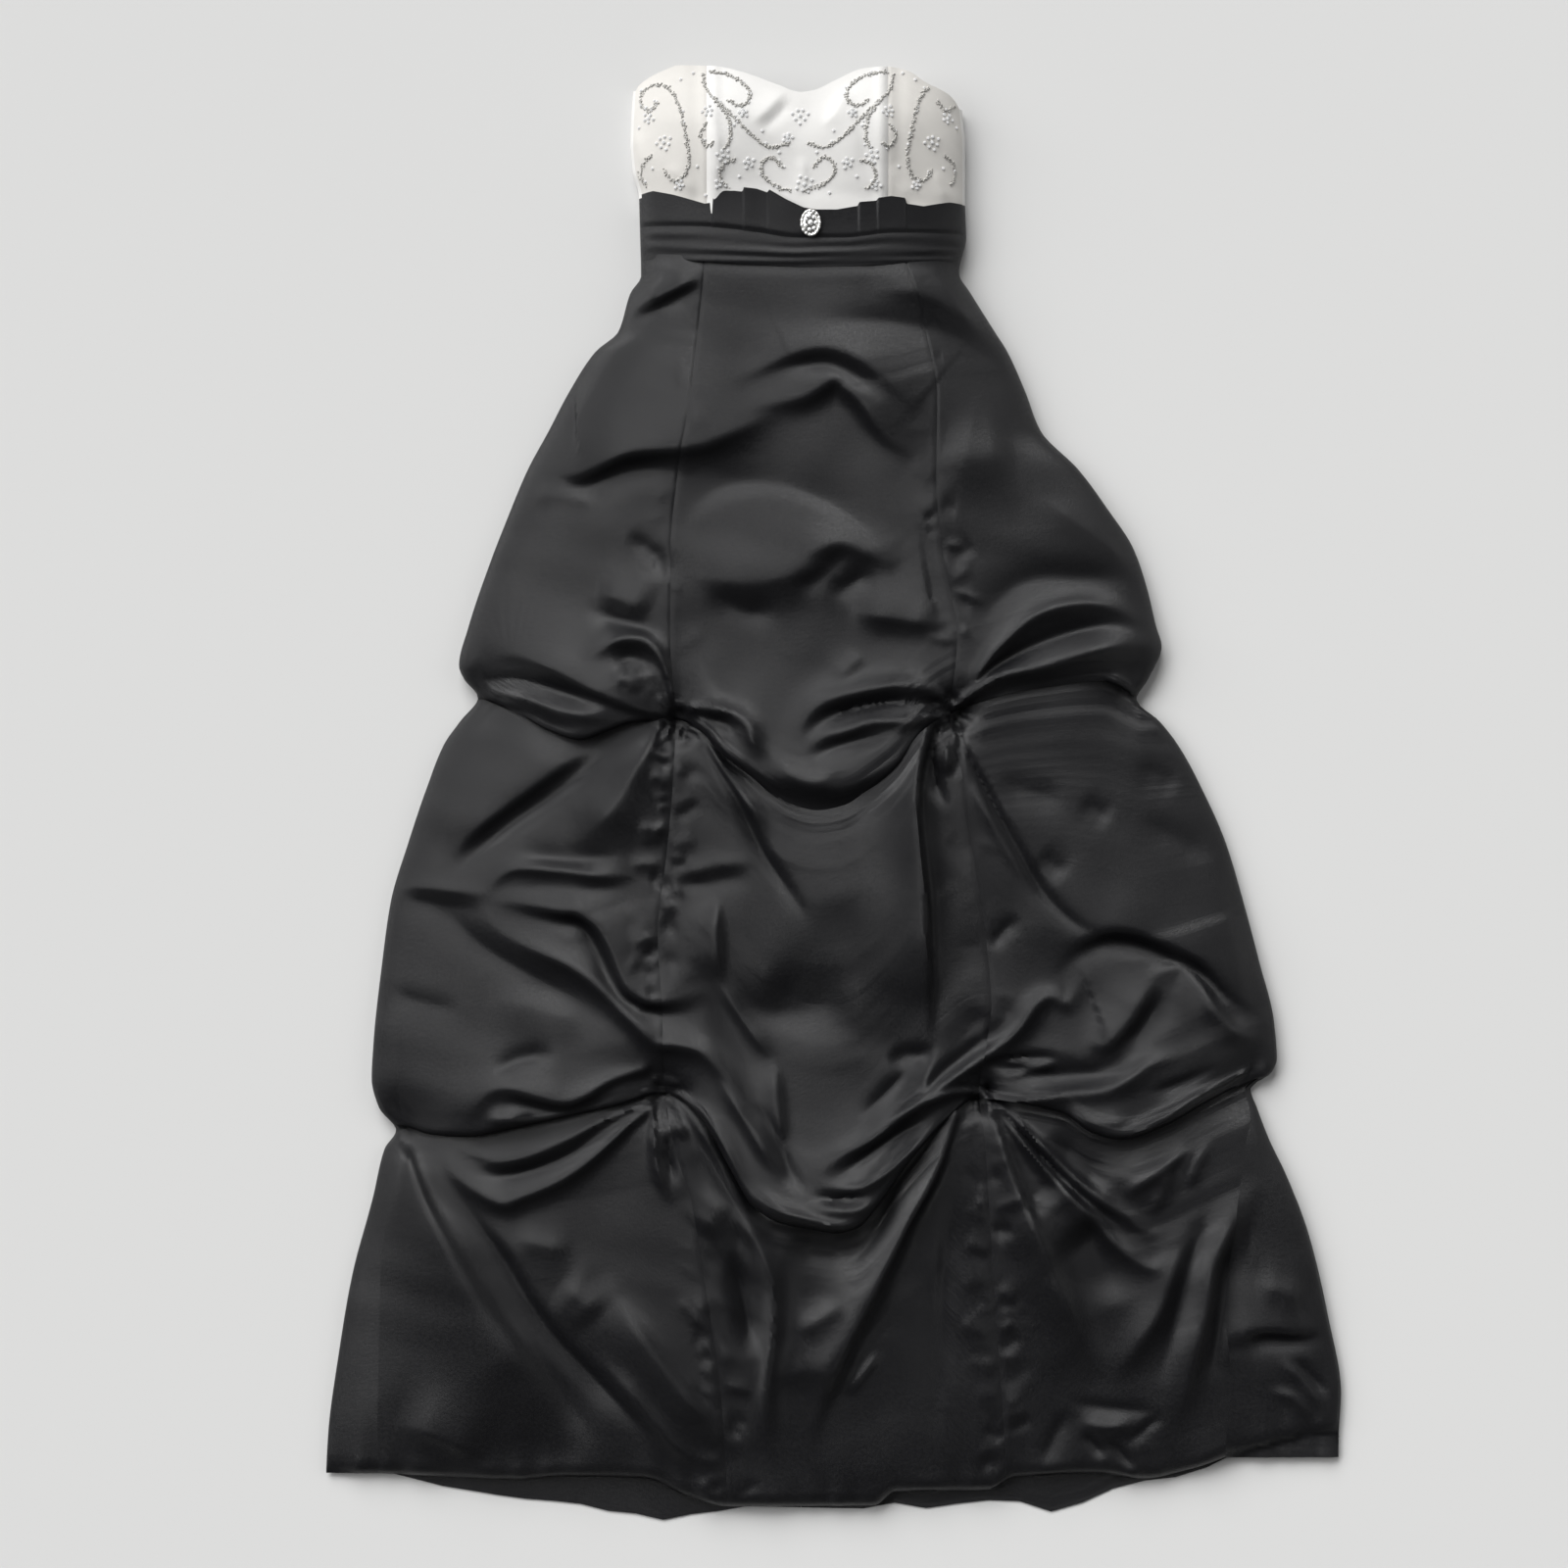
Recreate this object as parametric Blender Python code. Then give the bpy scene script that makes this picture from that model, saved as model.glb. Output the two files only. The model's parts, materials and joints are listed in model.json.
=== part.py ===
"""A strapless gown that lies on its back: a boned bodice, a tucked waistband with a brooch, a
ruched sash, and a floor-length skirt picked up into puffs at two heights.

X runs across the gown, Y from the hem up to the neck, and Z up from the surface it lies on.
The origin is under the middle of its outline. Tables are in millimetres.
"""

import math
from collections import namedtuple

import bmesh
import bpy
import numpy as np

# Driving dimensions, in millimetres
MM = 0.001
WALL = 2.0  # thickness of the cloth with its lining
SEAM = 0.3  # clearance between two pieces at a seam
RIM = 7.0  # height of the outline's edge above the surface
ROUNDING = 3.5  # power of the crown's cross-section: higher is flatter on top
LIP_ROLL = 10.0  # how far back from its edge a puff reaches its full height
PUFF_REACH = 140.0  # how far above its edge a puff starts to swell
TUCK_UNDER = 3.0  # how much lower the cloth starts under a puff
NARROWEST_FOLD = 15.0  # narrower folds are widened to this, so that the rows can carry them
CUP = dict(left=-108, right=34, y=632, rise=9, wide=44, tall=52)
BROOCH = dict(x=-21, y=546, wide=20, tall=26.5, thick=5)
BROOCH_SIDES = 24

# Height of the crown along the gown
Crown = namedtuple("Crown", "y top")
CROWNS = (
    Crown(-700, 15), Crown(-600, 23), Crown(-450, 30), Crown(-300, 34), Crown(-100, 38),
    Crown(100, 39), Crown(250, 42), Crown(420, 45), Crown(510, 47), Crown(560, 46),
    Crown(640, 50), Crown(700, 44),
)  # fmt: skip

# Outline of the gown seen from above
Edge = namedtuple("Edge", "y x")
LEFT_EDGE = (
    Edge(-690, -489), Edge(-612, -485), Edge(-537, -475), Edge(-461, -462), Edge(-386, -442),
    Edge(-340, -431), Edge(-322, -420), Edge(-300, -436), Edge(-272, -443), Edge(-234, -441),
    Edge(-159, -433), Edge(-102, -425), Edge(-45, -408), Edge(11, -389), Edge(49, -374),
    Edge(72, -358), Edge(95, -341), Edge(112, -354), Edge(125, -359), Edge(162, -350),
    Edge(219, -331), Edge(276, -309), Edge(314, -293), Edge(351, -273), Edge(389, -253),
    Edge(427, -228), Edge(446, -206), Edge(484, -194), Edge(500, -184), Edge(545, -185),
    Edge(577, -186), Edge(600, -192), Edge(626, -194), Edge(673, -192), Edge(700, -188),
)  # fmt: skip
RIGHT_EDGE = (
    Edge(-690, 487), Edge(-612, 488), Edge(-575, 490), Edge(-499, 477), Edge(-423, 459),
    Edge(-367, 438), Edge(-329, 420), Edge(-300, 409), Edge(-282, 403), Edge(-266, 423),
    Edge(-253, 428), Edge(-215, 425), Edge(-159, 411), Edge(-102, 396), Edge(-45, 379),
    Edge(11, 354), Edge(49, 333), Edge(72, 315), Edge(93, 293), Edge(112, 304),
    Edge(144, 317), Edge(162, 312), Edge(200, 303), Edge(238, 290), Edge(276, 265),
    Edge(314, 237), Edge(351, 201), Edge(389, 186), Edge(427, 169), Edge(446, 157),
    Edge(484, 133), Edge(503, 122), Edge(537, 129), Edge(567, 128), Edge(626, 128),
    Edge(649, 126), Edge(700, 120),
)  # fmt: skip

# How far inside the outline the side seams lie on top
Inset = namedtuple("Inset", "y left right")
SIDE_SEAM = (
    Inset(-690, 52, 110), Inset(-633, 50, 110), Inset(-511, 36, 102), Inset(-400, 20, 64),
    Inset(-345, 18, 32), Inset(-300, 5, 8), Inset(-250, 3, 3), Inset(700, 3, 3),
)  # fmt: skip

# The two seams that run down the front, from the neck to the hem
Front = namedtuple("Front", "y left right")
FRONT_SEAMS = (
    Front(-690, -100, 170), Front(-583, -106, 163), Front(-475, -121, 155),
    Front(-393, -134, 150), Front(-333, -152, 146), Front(-285, -160, 141),
    Front(-200, -163, 152), Front(-131, -167, 146), Front(-60, -159, 135),
    Front(20, -152, 124), Front(76, -150, 113), Front(150, -155, 119), Front(230, -155, 106),
    Front(300, -149, 99), Front(380, -136, 100), Front(448, -128, 88), Front(510, -122, 70),
    Front(537, -121, 58), Front(567, -120, 53), Front(700, -120, 53),
)  # fmt: skip

# Lines across the gown: neckline, waist lines, the two rows of puffs, and the hem
Line = namedtuple("Line", "x y")
NECKLINE = (
    Line(-194, 664), Line(-186, 681), Line(-158, 695), Line(-148, 698), Line(-111, 696),
    Line(-85, 690), Line(-52, 678), Line(-31, 671), Line(-17, 673), Line(2, 682),
    Line(30, 694), Line(54, 696), Line(73, 692), Line(89, 682), Line(111, 672),
    Line(120, 663), Line(127, 645),
)  # fmt: skip
BAND_TOP = (Line(-186, 572), Line(-120, 566), Line(-33.5, 559), Line(53, 566), Line(128, 567))
BAND_FOOT = (Line(-185, 546), Line(-121, 543), Line(-32, 532), Line(57, 537), Line(128, 538))
SASH_FOOT = (Line(-184, 515), Line(-122, 510), Line(-26, 507), Line(70, 508), Line(124, 513))
WAIST_LINES = (BAND_TOP, BAND_FOOT, SASH_FOOT)
Lip = namedtuple("Lip", "x y drop")
UPPER_PUFFS = (
    Lip(-341, 95, 3), Lip(-300, 78, 8), Lip(-271, 62, 10), Lip(-240, 53, 11),
    Lip(-218, 60, 9), Lip(-190, 70, 6), Lip(-150, 73, 3), Lip(-126, 62, 6), Lip(-108, 42, 9),
    Lip(-92, 29, 11), Lip(-76, 17, 13), Lip(-60, 3, 14), Lip(-40, -9, 15), Lip(-15, -15, 15),
    Lip(10, -11, 14), Lip(36, 5, 13), Lip(62, 27, 11), Lip(84, 57, 7), Lip(112, 78, 3),
    Lip(160, 96, 4), Lip(204, 104, 6), Lip(258, 110, 6), Lip(294, 94, 3),
)  # fmt: skip
LOWER_PUFFS = (
    Lip(-417, -315, 3), Lip(-386, -325, 8), Lip(-350, -327, 12), Lip(-313, -320, 12),
    Lip(-267, -310, 10), Lip(-210, -297, 6), Lip(-160, -285, 3), Lip(-127, -306, 8),
    Lip(-100, -352, 13), Lip(-76, -392, 17), Lip(-50, -408, 20), Lip(-22, -414, 21),
    Lip(4, -418, 21), Lip(24, -413, 20), Lip(42, -394, 17), Lip(75, -348, 12),
    Lip(105, -314, 7), Lip(140, -290, 3), Lip(219, -303, 8), Lip(248, -322, 12),
    Lip(277, -329, 14), Lip(318, -316, 12), Lip(357, -295, 8), Lip(405, -272, 3),
)  # fmt: skip
FRONT_HEM = (
    Line(-487, -650), Line(-415, -653), Line(-300, -658), Line(-260, -655), Line(-180, -657),
    Line(-140, -674), Line(-100, -684), Line(40, -683), Line(62, -670), Line(150, -668),
    Line(176, -656), Line(256, -652), Line(300, -657), Line(345, -648), Line(398, -630),
    Line(473, -613), Line(490, -611),
)  # fmt: skip
BACK_HEM = (
    Line(-487, -650), Line(-415, -653), Line(-339, -671), Line(-245, -682), Line(-169, -699),
    Line(-112, -690), Line(39, -687), Line(76, -688), Line(171, -680), Line(209, -690),
    Line(256, -676), Line(284, -663), Line(341, -655), Line(398, -630), Line(473, -613),
    Line(490, -611),
)  # fmt: skip

# Points where the skirt is gathered up and tacked down
PickUp = namedtuple("PickUp", "x y depth radius")
PICK_UPS = (
    PickUp(-150, 73, 15, 26), PickUp(113, 80, 13, 24), PickUp(-160, -283, 14, 28),
    PickUp(142, -286, 13, 26), PickUp(-341, 95, 8, 34), PickUp(294, 94, 8, 34),
    PickUp(-419, -320, 8, 34), PickUp(404, -279, 8, 34),
)  # fmt: skip

# Folds of each tier of the skirt. rise is up from the cloth, or down if negative. up and down are
# the widths of its flanks towards the neck and towards the hem, or on an upright fold towards
# the left and the right.
Fold = namedtuple("Fold", "rise up down path")
UPPER_FOLDS = (
    Fold(9, 34, 9, ((-194, 466), (-160, 480), (-121, 500))),
    Fold(11, 46, 9, ((-84, 371), (-29, 380), (3, 398), (21, 383), (53, 343), (88, 324))),
    Fold(14, 70, 12, ((-276, 318), (-240, 311), (-194, 328), (-139, 333), (-100, 345),
                      (-47, 372))),
    Fold(11, 58, 22, ((-150, 222), (-115, 205), (-84, 190), (-50, 202), (0, 222), (44, 233))),
    Fold(9, 38, 12, ((16, 176), (60, 170), (96, 166), (112, 172))),
    Fold(10, 44, 9, ((-331, 128), (-308, 137), (-272, 124), (-226, 101), (-190, 86),
                     (-160, 78))),
    Fold(8, 10, 8, ((-240, 128), (-220, 141), (-203, 149), (-182, 149), (-168, 138),
                    (-158, 118), (-153, 98))),
    Fold(9, 10, 8, ((-132, 84), (-108, 81), (-93, 77), (-80, 66), (-74, 50), (-70, 32))),
    Fold(9, 14, 8, ((-38, 52), (-28, 69), (-10, 88), (21, 98), (60, 105), (94, 100),
                    (114, 86))),
    Fold(9, 10, 10, ((118, 86), (131, 101), (144, 122), (159, 142), (191, 170), (227, 182),
                     (264, 181), (301, 165))),
    Fold(9, 12, 9, ((120, 86), (140, 102), (163, 115), (204, 124), (250, 138), (312, 149))),
)  # fmt: skip
MIDDLE_FOLDS = (
    Fold(14, 26, 34, ((-160, 72), (-166, 66), (-188, 23), (-204, -6), (-226, -30), (-252, -52))),
    Fold(-8, 10, 9, ((-204, 54), (-232, 30), (-262, 5), (-311, -29), (-363, -75))),
    Fold(8, 50, 8, ((-224, 50), (-258, 30), (-300, 0), (-340, -30), (-372, -60))),
    Fold(10, 22, 7, ((-334, -98), (-295, -103), (-262, -109), (-243, -111), (-225, -124),
                     (-212, -146), (-200, -174), (-186, -190), (-166, -196), (-139, -192),
                     (-104, -178))),
    Fold(11, 14, 9, ((-334, -104), (-320, -128), (-295, -143), (-249, -164), (-219, -186),
                     (-194, -211), (-169, -235), (-151, -238), (-126, -244), (-102, -266),
                     (-80, -294), (-65, -321))),
    Fold(8, 16, 7, ((-353, -312), (-338, -293), (-323, -281), (-305, -280), (-280, -287),
                    (-256, -293), (-237, -287), (-212, -272), (-180, -262))),
    Fold(9, 7, 10, ((-130, 64), (-118, 46), (-104, 22), (-90, 2), (-74, -18), (-62, -44))),
    Fold(8, 40, 20, ((-40, -22), (-22, -60), (-8, -110))),
    Fold(8, 24, 4, ((-112, -96), (-111, -140), (-110, -180))),
    Fold(-7, 20, 26, ((-100, -198), (-50, -208), (0, -202))),
    Fold(-7, 26, 30, ((-66, -175), (-20, -195), (24, -190))),
    Fold(15, 66, 5, ((100, 76), (91, 66), (85, 46), (80, 20), (79, -11), (82, -53), (86, -96),
                     (88, -141), (90, -186), (90, -242))),
    Fold(9, 50, 8, ((214, -166), (236, -140), (263, -127), (293, -129), (323, -141),
                    (356, -158), (386, -188), (414, -204))),
    Fold(-9, 7, 12, ((210, -180), (233, -153), (263, -141), (293, -144), (323, -156),
                     (353, -171), (383, -200), (408, -216))),
    Fold(10, 34, 10, ((236, -232), (262, -236), (284, -214), (300, -186), (311, -171))),
    Fold(10, 9, 8, ((44, -318), (82, -291), (124, -264), (154, -243), (178, -222),
                    (194, -200), (208, -192), (224, -198), (239, -178), (252, -171))),
    Fold(-8, 9, 9, ((186, -202), (160, -225), (118, -256), (94, -276), (60, -304))),
    Fold(-9, 13, 14, ((152, -256), (200, -266), (250, -266), (296, -256))),
    Fold(8, 10, 10, ((148, -291), (184, -292), (218, -286), (257, -281), (281, -272),
                     (304, -256), (340, -246))),
)  # fmt: skip
LOWER_FOLDS = (
    Fold(10, 16, 9, ((-378, -335), (-363, -360), (-344, -376), (-318, -389), (-298, -384),
                     (-259, -367), (-227, -344), (-194, -314), (-172, -297))),
    Fold(14, 66, 22, ((-408, -350), (-389, -396), (-360, -448), (-331, -497), (-305, -533),
                      (-279, -575), (-252, -628))),
    Fold(-7, 14, 16, ((-376, -402), (-331, -467), (-292, -526), (-253, -585), (-213, -637))),
    Fold(7, 26, 18, ((-246, -460), (-226, -500), (-190, -552), (-150, -600), (-118, -632))),
    Fold(9, 12, 10, ((-142, -296), (-116, -334), (-100, -363), (-80, -402), (-67, -428))),
    Fold(-8, 9, 14, ((-112, -318), (-92, -350), (-76, -384), (-60, -412))),
    Fold(11, 9, 8, ((-112, -436), (-100, -419), (-87, -412), (-74, -425), (-64, -448),
                    (-57, -474), (-57, -507), (-61, -549), (-64, -581), (-62, -614),
                    (-54, -650))),
    Fold(-11, 9, 11, ((-97, -432), (-90, -460), (-82, -496), (-74, -540))),
    Fold(-8, 26, 26, ((-46, -428), (-10, -440), (30, -430))),
    Fold(11, 16, 9, ((118, -304), (98, -361), (70, -411), (50, -452), (30, -492), (6, -540),
                     (-14, -590), (-28, -640))),
    Fold(12, 30, 16, ((150, -300), (160, -330), (175, -374), (195, -421), (216, -472),
                      (238, -522), (262, -560))),
    Fold(9, 16, 12, ((262, -562), (276, -550), (297, -519), (313, -492), (327, -452),
                     (346, -412))),
    Fold(-8, 26, 28, ((228, -400), (256, -440), (276, -488))),
    Fold(9, 8, 8, ((152, -300), (162, -307), (189, -340), (222, -377), (253, -408),
                   (276, -435), (303, -452), (315, -447), (319, -428))),
    Fold(-8, 14, 14, ((206, -324), (236, -350), (268, -378))),
    Fold(8, 12, 8, ((344, -336), (310, -361), (274, -386))),
    Fold(11, 12, 10, ((410, -366), (384, -408), (364, -452), (357, -492), (347, -533),
                      (337, -577), (324, -606))),
)  # fmt: skip

# Tucks laid across the band: middle, half width, how far each stands out
Tuck = namedtuple("Tuck", "x half rise")
BAND_RISE = 1.5  # how far the band stands above the bodice
SASH_LIFT = 1.0
BAND_TUCKS = (
    Tuck(-100, 15, 3), Tuck(-73, 12, 4), Tuck(-45, 16, 5), Tuck(34, 10, 4), Tuck(57, 13, 3),
)  # fmt: skip
SASH_FOLDS = 4
SASH_RISE = 3.0

# Rows and columns of the walls
BODICE_ROWS = 9
BAND_ROWS = 3
SASH_ROWS = 8
TIER_ROWS = (17, 15, 13)
PUFF_EDGE_ROWS = (0.955, 0.978, 0.993)  # rows that shape a puff's edge, as shares of its tier
UNDER_EDGE_ROW = 0.02
SIDE_GORE_COLUMNS = 10
CENTRE_HALF_COLUMNS = 5
BODICE_SIDE_COLUMNS = 5
BODICE_CENTRE_HALF_COLUMNS = 6
BAND_COLUMNS = (8, 8, 8, 7)
SASH_COLUMNS = (6, 6, 6, 5)
SETTLING_STEPS = 24
PROBE = 1.5  # half the span over which a wall's slope is taken

# The back, from its side seam on top to the middle of the back
BACK_MIDDLE = -30.0
NECK_DIP = 25.0  # how much lower the neck edge is at the middle of the back
STRIP_SHARES = (1.0, 0.4)
FLAT_SHARES = (0.4, 0.7, 1.0)
Bend = namedtuple("Bend", "out_in out_z in_in in_z")  # how far inside the outline, and how high
RIM_BENDS = (Bend(0, RIM - 2.4, 2.1, RIM - 2), Bend(1, 1.6, 3.2, 3), Bend(5, 0, 6, WALL))

BLACK_SATIN = (0.012, 0.012, 0.014)
WHITE_SATIN = (0.83, 0.82, 0.80)
SILVER = (0.75, 0.76, 0.78)


def columns(rows):
    """The columns of a table as arrays."""
    return [np.array(column, float) for column in zip(*rows)]


def through(at, knots, values):
    """Values on a smooth curve through the knots, with no overshoot between them."""
    step = np.diff(knots)
    slope = np.diff(values) / step
    before, after = slope[:-1], slope[1:]
    same = before * after > 0
    tangent = np.concatenate([slope[:1], np.zeros(len(before)), slope[-1:]])
    tangent[1:-1][same] = 2 * before[same] * after[same] / (before + after)[same]
    at = np.clip(at, knots[0], knots[-1])
    i = np.clip(np.searchsorted(knots, at, side="right") - 1, 0, len(step) - 1)
    t = (at - knots[i]) / step[i]
    rise = values[i + 1] - values[i]
    ease = t * t * (3 - 2 * t)
    start = t * (1 - t) ** 2 * step[i] * tangent[i]
    end = t * t * (t - 1) * step[i] * tangent[i + 1]
    return values[i] + rise * ease + start + end


def ease(low, high, at):
    """0 below low, 1 above high, and smooth between."""
    t = np.clip((at - low) / (high - low), 0, 1)
    return t * t * (3 - 2 * t)


def edge(rows, y):
    return through(y, *columns(rows))


def sides(y):
    """The gown's outline at y."""
    return edge(LEFT_EDGE, y), edge(RIGHT_EDGE, y)


def across(u, y):
    """x at u, where 0 and 4 are the side seams, 1 and 3 the front seams and 2 the middle."""
    left, right = sides(y)
    seam_y, inset_left, inset_right = columns(SIDE_SEAM)
    front_y, front_left, front_right = columns(FRONT_SEAMS)
    a = through(y, front_y, front_left)
    b = through(y, front_y, front_right)
    start = left + through(y, seam_y, inset_left)
    end = right - through(y, seam_y, inset_right)
    marks = np.array([start, a, (a + b) / 2, b, end])
    quarter = np.minimum(u.astype(int), 3)
    place = np.arange(len(u))
    before, after = marks[quarter, place], marks[quarter + 1, place]
    return before + (after - before) * (u - quarter)


def line_y(rows, x):
    """y of a line across the gown. The waist lines are straight between the seams."""
    table = columns(rows)
    if rows in WAIST_LINES:
        return np.interp(x, table[0], table[1])
    return through(x, table[0], table[1])


def crown(x, y):
    """Height of the plain laid shape."""
    left, right = sides(y)
    share = np.clip(np.abs(2 * x - left - right) / (right - left), 0, 1)
    top = through(y, *columns(CROWNS))
    return RIM + (top - RIM) * np.sqrt(1 - share**ROUNDING)


def fold_height(fold, x, y):
    """A fold's height: full along the middle of its path, and gone at its ends."""
    path = np.array(fold.path, float)
    run = np.diff(path, axis=0)
    lengths = np.hypot(*run.T)
    starts = np.concatenate([[0], np.cumsum(lengths)])
    facing = path[-1] - path[0]
    upright = abs(facing[0]) <= 0.2 * abs(facing[1])
    flip = np.sign(facing[1] if upright else facing[0])
    nearest = np.full(np.shape(x), np.inf)
    share = np.zeros(np.shape(x))
    beside = np.zeros(np.shape(x))
    for i, (dx, dy) in enumerate(run):
        px, py = x - path[i, 0], y - path[i, 1]
        t = np.clip((px * dx + py * dy) / lengths[i] ** 2, 0, 1)
        gap = np.hypot(px - t * dx, py - t * dy)
        closer = gap < nearest
        nearest = np.where(closer, gap, nearest)
        share = np.where(closer, (starts[i] + t * lengths[i]) / starts[-1], share)
        beside = np.where(closer, dx * py - dy * px, beside)
    width = np.where(beside * flip > 0, fold.up, fold.down)
    width = np.maximum(width, NARROWEST_FOLD)
    ends = ease(-0.1, 0.3, share) * ease(-0.1, 0.3, 1 - share)
    return fold.rise * ends * np.exp(-((nearest / width) ** 2))


def puff_height(rows, x, y):
    """How far a row of puffs stands out above its edge, and nothing below it."""
    knots, edge_y, drop = columns(rows)
    above = y - through(x, knots, edge_y)
    full = through(x, knots, drop)
    roll = np.sqrt(1 - (1 - np.clip(above / LIP_ROLL, 0, 1)) ** 2)
    return full * roll * (1 - ease(LIP_ROLL, PUFF_REACH, above))


def skirt_height(x, y, tier):
    """Height of the front of the skirt. tier is 0, 1 or 2 from the waist down."""
    height = crown(x, y)
    if tier < 2:
        height = height + puff_height((UPPER_PUFFS, LOWER_PUFFS)[tier], x, y)
    if tier > 0:
        knots, edge_y, _ = columns((UPPER_PUFFS, LOWER_PUFFS)[tier - 1])
        below = through(x, knots, edge_y) - y
        height = height - TUCK_UNDER * (1 - ease(0, 40, below))
    left, right = sides(y)
    inside = ease(0, 28, np.minimum(x - left, right - x))
    for fold in (UPPER_FOLDS, MIDDLE_FOLDS, LOWER_FOLDS)[tier]:
        height = height + inside * fold_height(fold, x, y)
    for point in PICK_UPS:
        away = np.hypot(x - point.x, y - point.y)
        height = height - inside * point.depth * np.exp(-((away / point.radius) ** 2))
    return np.maximum(height, RIM + inside * 4)


def bodice_height(x, y, _):
    """Height of the front of the bodice, with a cup on each side of the middle."""
    height = crown(x, y)
    for middle in (CUP["left"], CUP["right"]):
        spread = ((x - middle) / CUP["wide"]) ** 2 + ((y - CUP["y"]) / CUP["tall"]) ** 2
        height = height + CUP["rise"] * np.exp(-spread)
    return height


def band_height(x, y, _):
    height = crown(x, y) + BAND_RISE
    for tuck in BAND_TUCKS:
        share = np.clip(np.abs(x - tuck.x) / tuck.half, 0, 1)
        height = height + tuck.rise * (1 - share**3)
    return height


def sash_height(x, y, _):
    """Height of the sash: fine folds that run across it and dip at the middle."""
    top, foot = line_y(BAND_FOOT, x), line_y(SASH_FOOT, x)
    turn = math.tau * SASH_FOLDS * np.clip((top - y) / (top - foot), 0, 1)
    left, right = sides(y)
    inside = ease(0, 20, np.minimum(x - left, right - x))
    return crown(x, y) + SASH_LIFT + inside * SASH_RISE * 0.5 * (1 - np.cos(turn))


Row = namedtuple("Row", "above below share tier trim")


def rows_between(above, below, shares, tier=0, trim_top=False, trim_foot=False):
    """Rows of a wall between two lines, parted from the next piece at a trimmed end."""
    rows = []
    for share in shares:
        trim = 0.0
        if trim_top and share == 0:
            trim = -SEAM / 2
        if trim_foot and share == 1:
            trim = SEAM / 2
        rows.append(Row(above, below, share, tier, trim))
    return rows


def tier_shares(count, has_edge, starts_under):
    """Even rows, with more of them at a puff's edge and one close under the edge above."""
    first = UNDER_EDGE_ROW if starts_under else 0.0
    last = PUFF_EDGE_ROWS[0] - 0.03 if has_edge else 1.0
    shares = list(np.linspace(first, last, count))
    if starts_under:
        shares.insert(0, 0.0)
    if has_edge:
        shares.extend(PUFF_EDGE_ROWS)
    return shares


BODICE = rows_between(
    NECKLINE, BAND_TOP, np.linspace(0, 1, BODICE_ROWS), trim_foot=True
)
BAND = rows_between(
    BAND_TOP, BAND_FOOT, np.linspace(0, 1, BAND_ROWS), trim_top=True, trim_foot=True
)
SASH = rows_between(
    BAND_FOOT, SASH_FOOT, np.linspace(0, 1, SASH_ROWS), trim_top=True, trim_foot=True
)
SKIRT = (
    rows_between(SASH_FOOT, UPPER_PUFFS, tier_shares(TIER_ROWS[0], True, False), 0, True)
    + rows_between(UPPER_PUFFS, LOWER_PUFFS, tier_shares(TIER_ROWS[1], True, True), 1)
    + rows_between(LOWER_PUFFS, FRONT_HEM, tier_shares(TIER_ROWS[2], False, True), 2)
)


def row_y(row, x):
    y = (1 - row.share) * line_y(row.above, x) + row.share * line_y(row.below, x)
    return y + row.trim


def settle(u, row):
    """The points of a row at u: x depends on y, and y on x, so they are found in turn."""
    u = np.array(u, float)
    y = row_y(row, np.zeros(len(u)))
    for _ in range(SETTLING_STEPS):
        x = across(u, y)
        y = row_y(row, x)
    return x, y


def wall_points(x, y, row, neighbours, height):
    """Points on the outside of a wall, and those straight behind them on the inside."""
    outside = np.stack([x, y, height(x, y, row.tier)], axis=1)
    beside = height(x + PROBE, y, row.tier) - height(x - PROBE, y, row.tier)
    upper, lower = neighbours
    upper_y, lower_y = row_y(upper, x), row_y(lower, x)
    along = height(x, upper_y, upper.tier) - height(x, lower_y, lower.tier)
    slope_x, slope_y = beside / (2 * PROBE), along / (upper_y - lower_y)
    normal = np.stack([-slope_x, -slope_y, np.ones(len(x))], axis=1)
    length = np.linalg.norm(normal, axis=1)[:, None]
    if upper is row or lower is row:
        # An end of the wall stands upright, so that it meets the next piece all the way.
        return outside, outside - np.minimum(WALL * length, 2 * WALL) * np.array([0, 0, 1])
    return outside, outside - WALL * normal / length


def neighbours_of(rows, i):
    return rows[max(i - 1, 0)], rows[min(i + 1, len(rows) - 1)]


def front_grid(rows, marks, height):
    """Outside and inside points of a front piece, row by row, between two seams."""
    grids = []
    for i, row in enumerate(rows):
        x, y = settle(marks, row)
        x[0] += SEAM / 2
        x[-1] -= SEAM / 2
        grids.append(wall_points(x, y, row, neighbours_of(rows, i), height))
    return [outside for outside, _ in grids], [inside for _, inside in grids]


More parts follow.
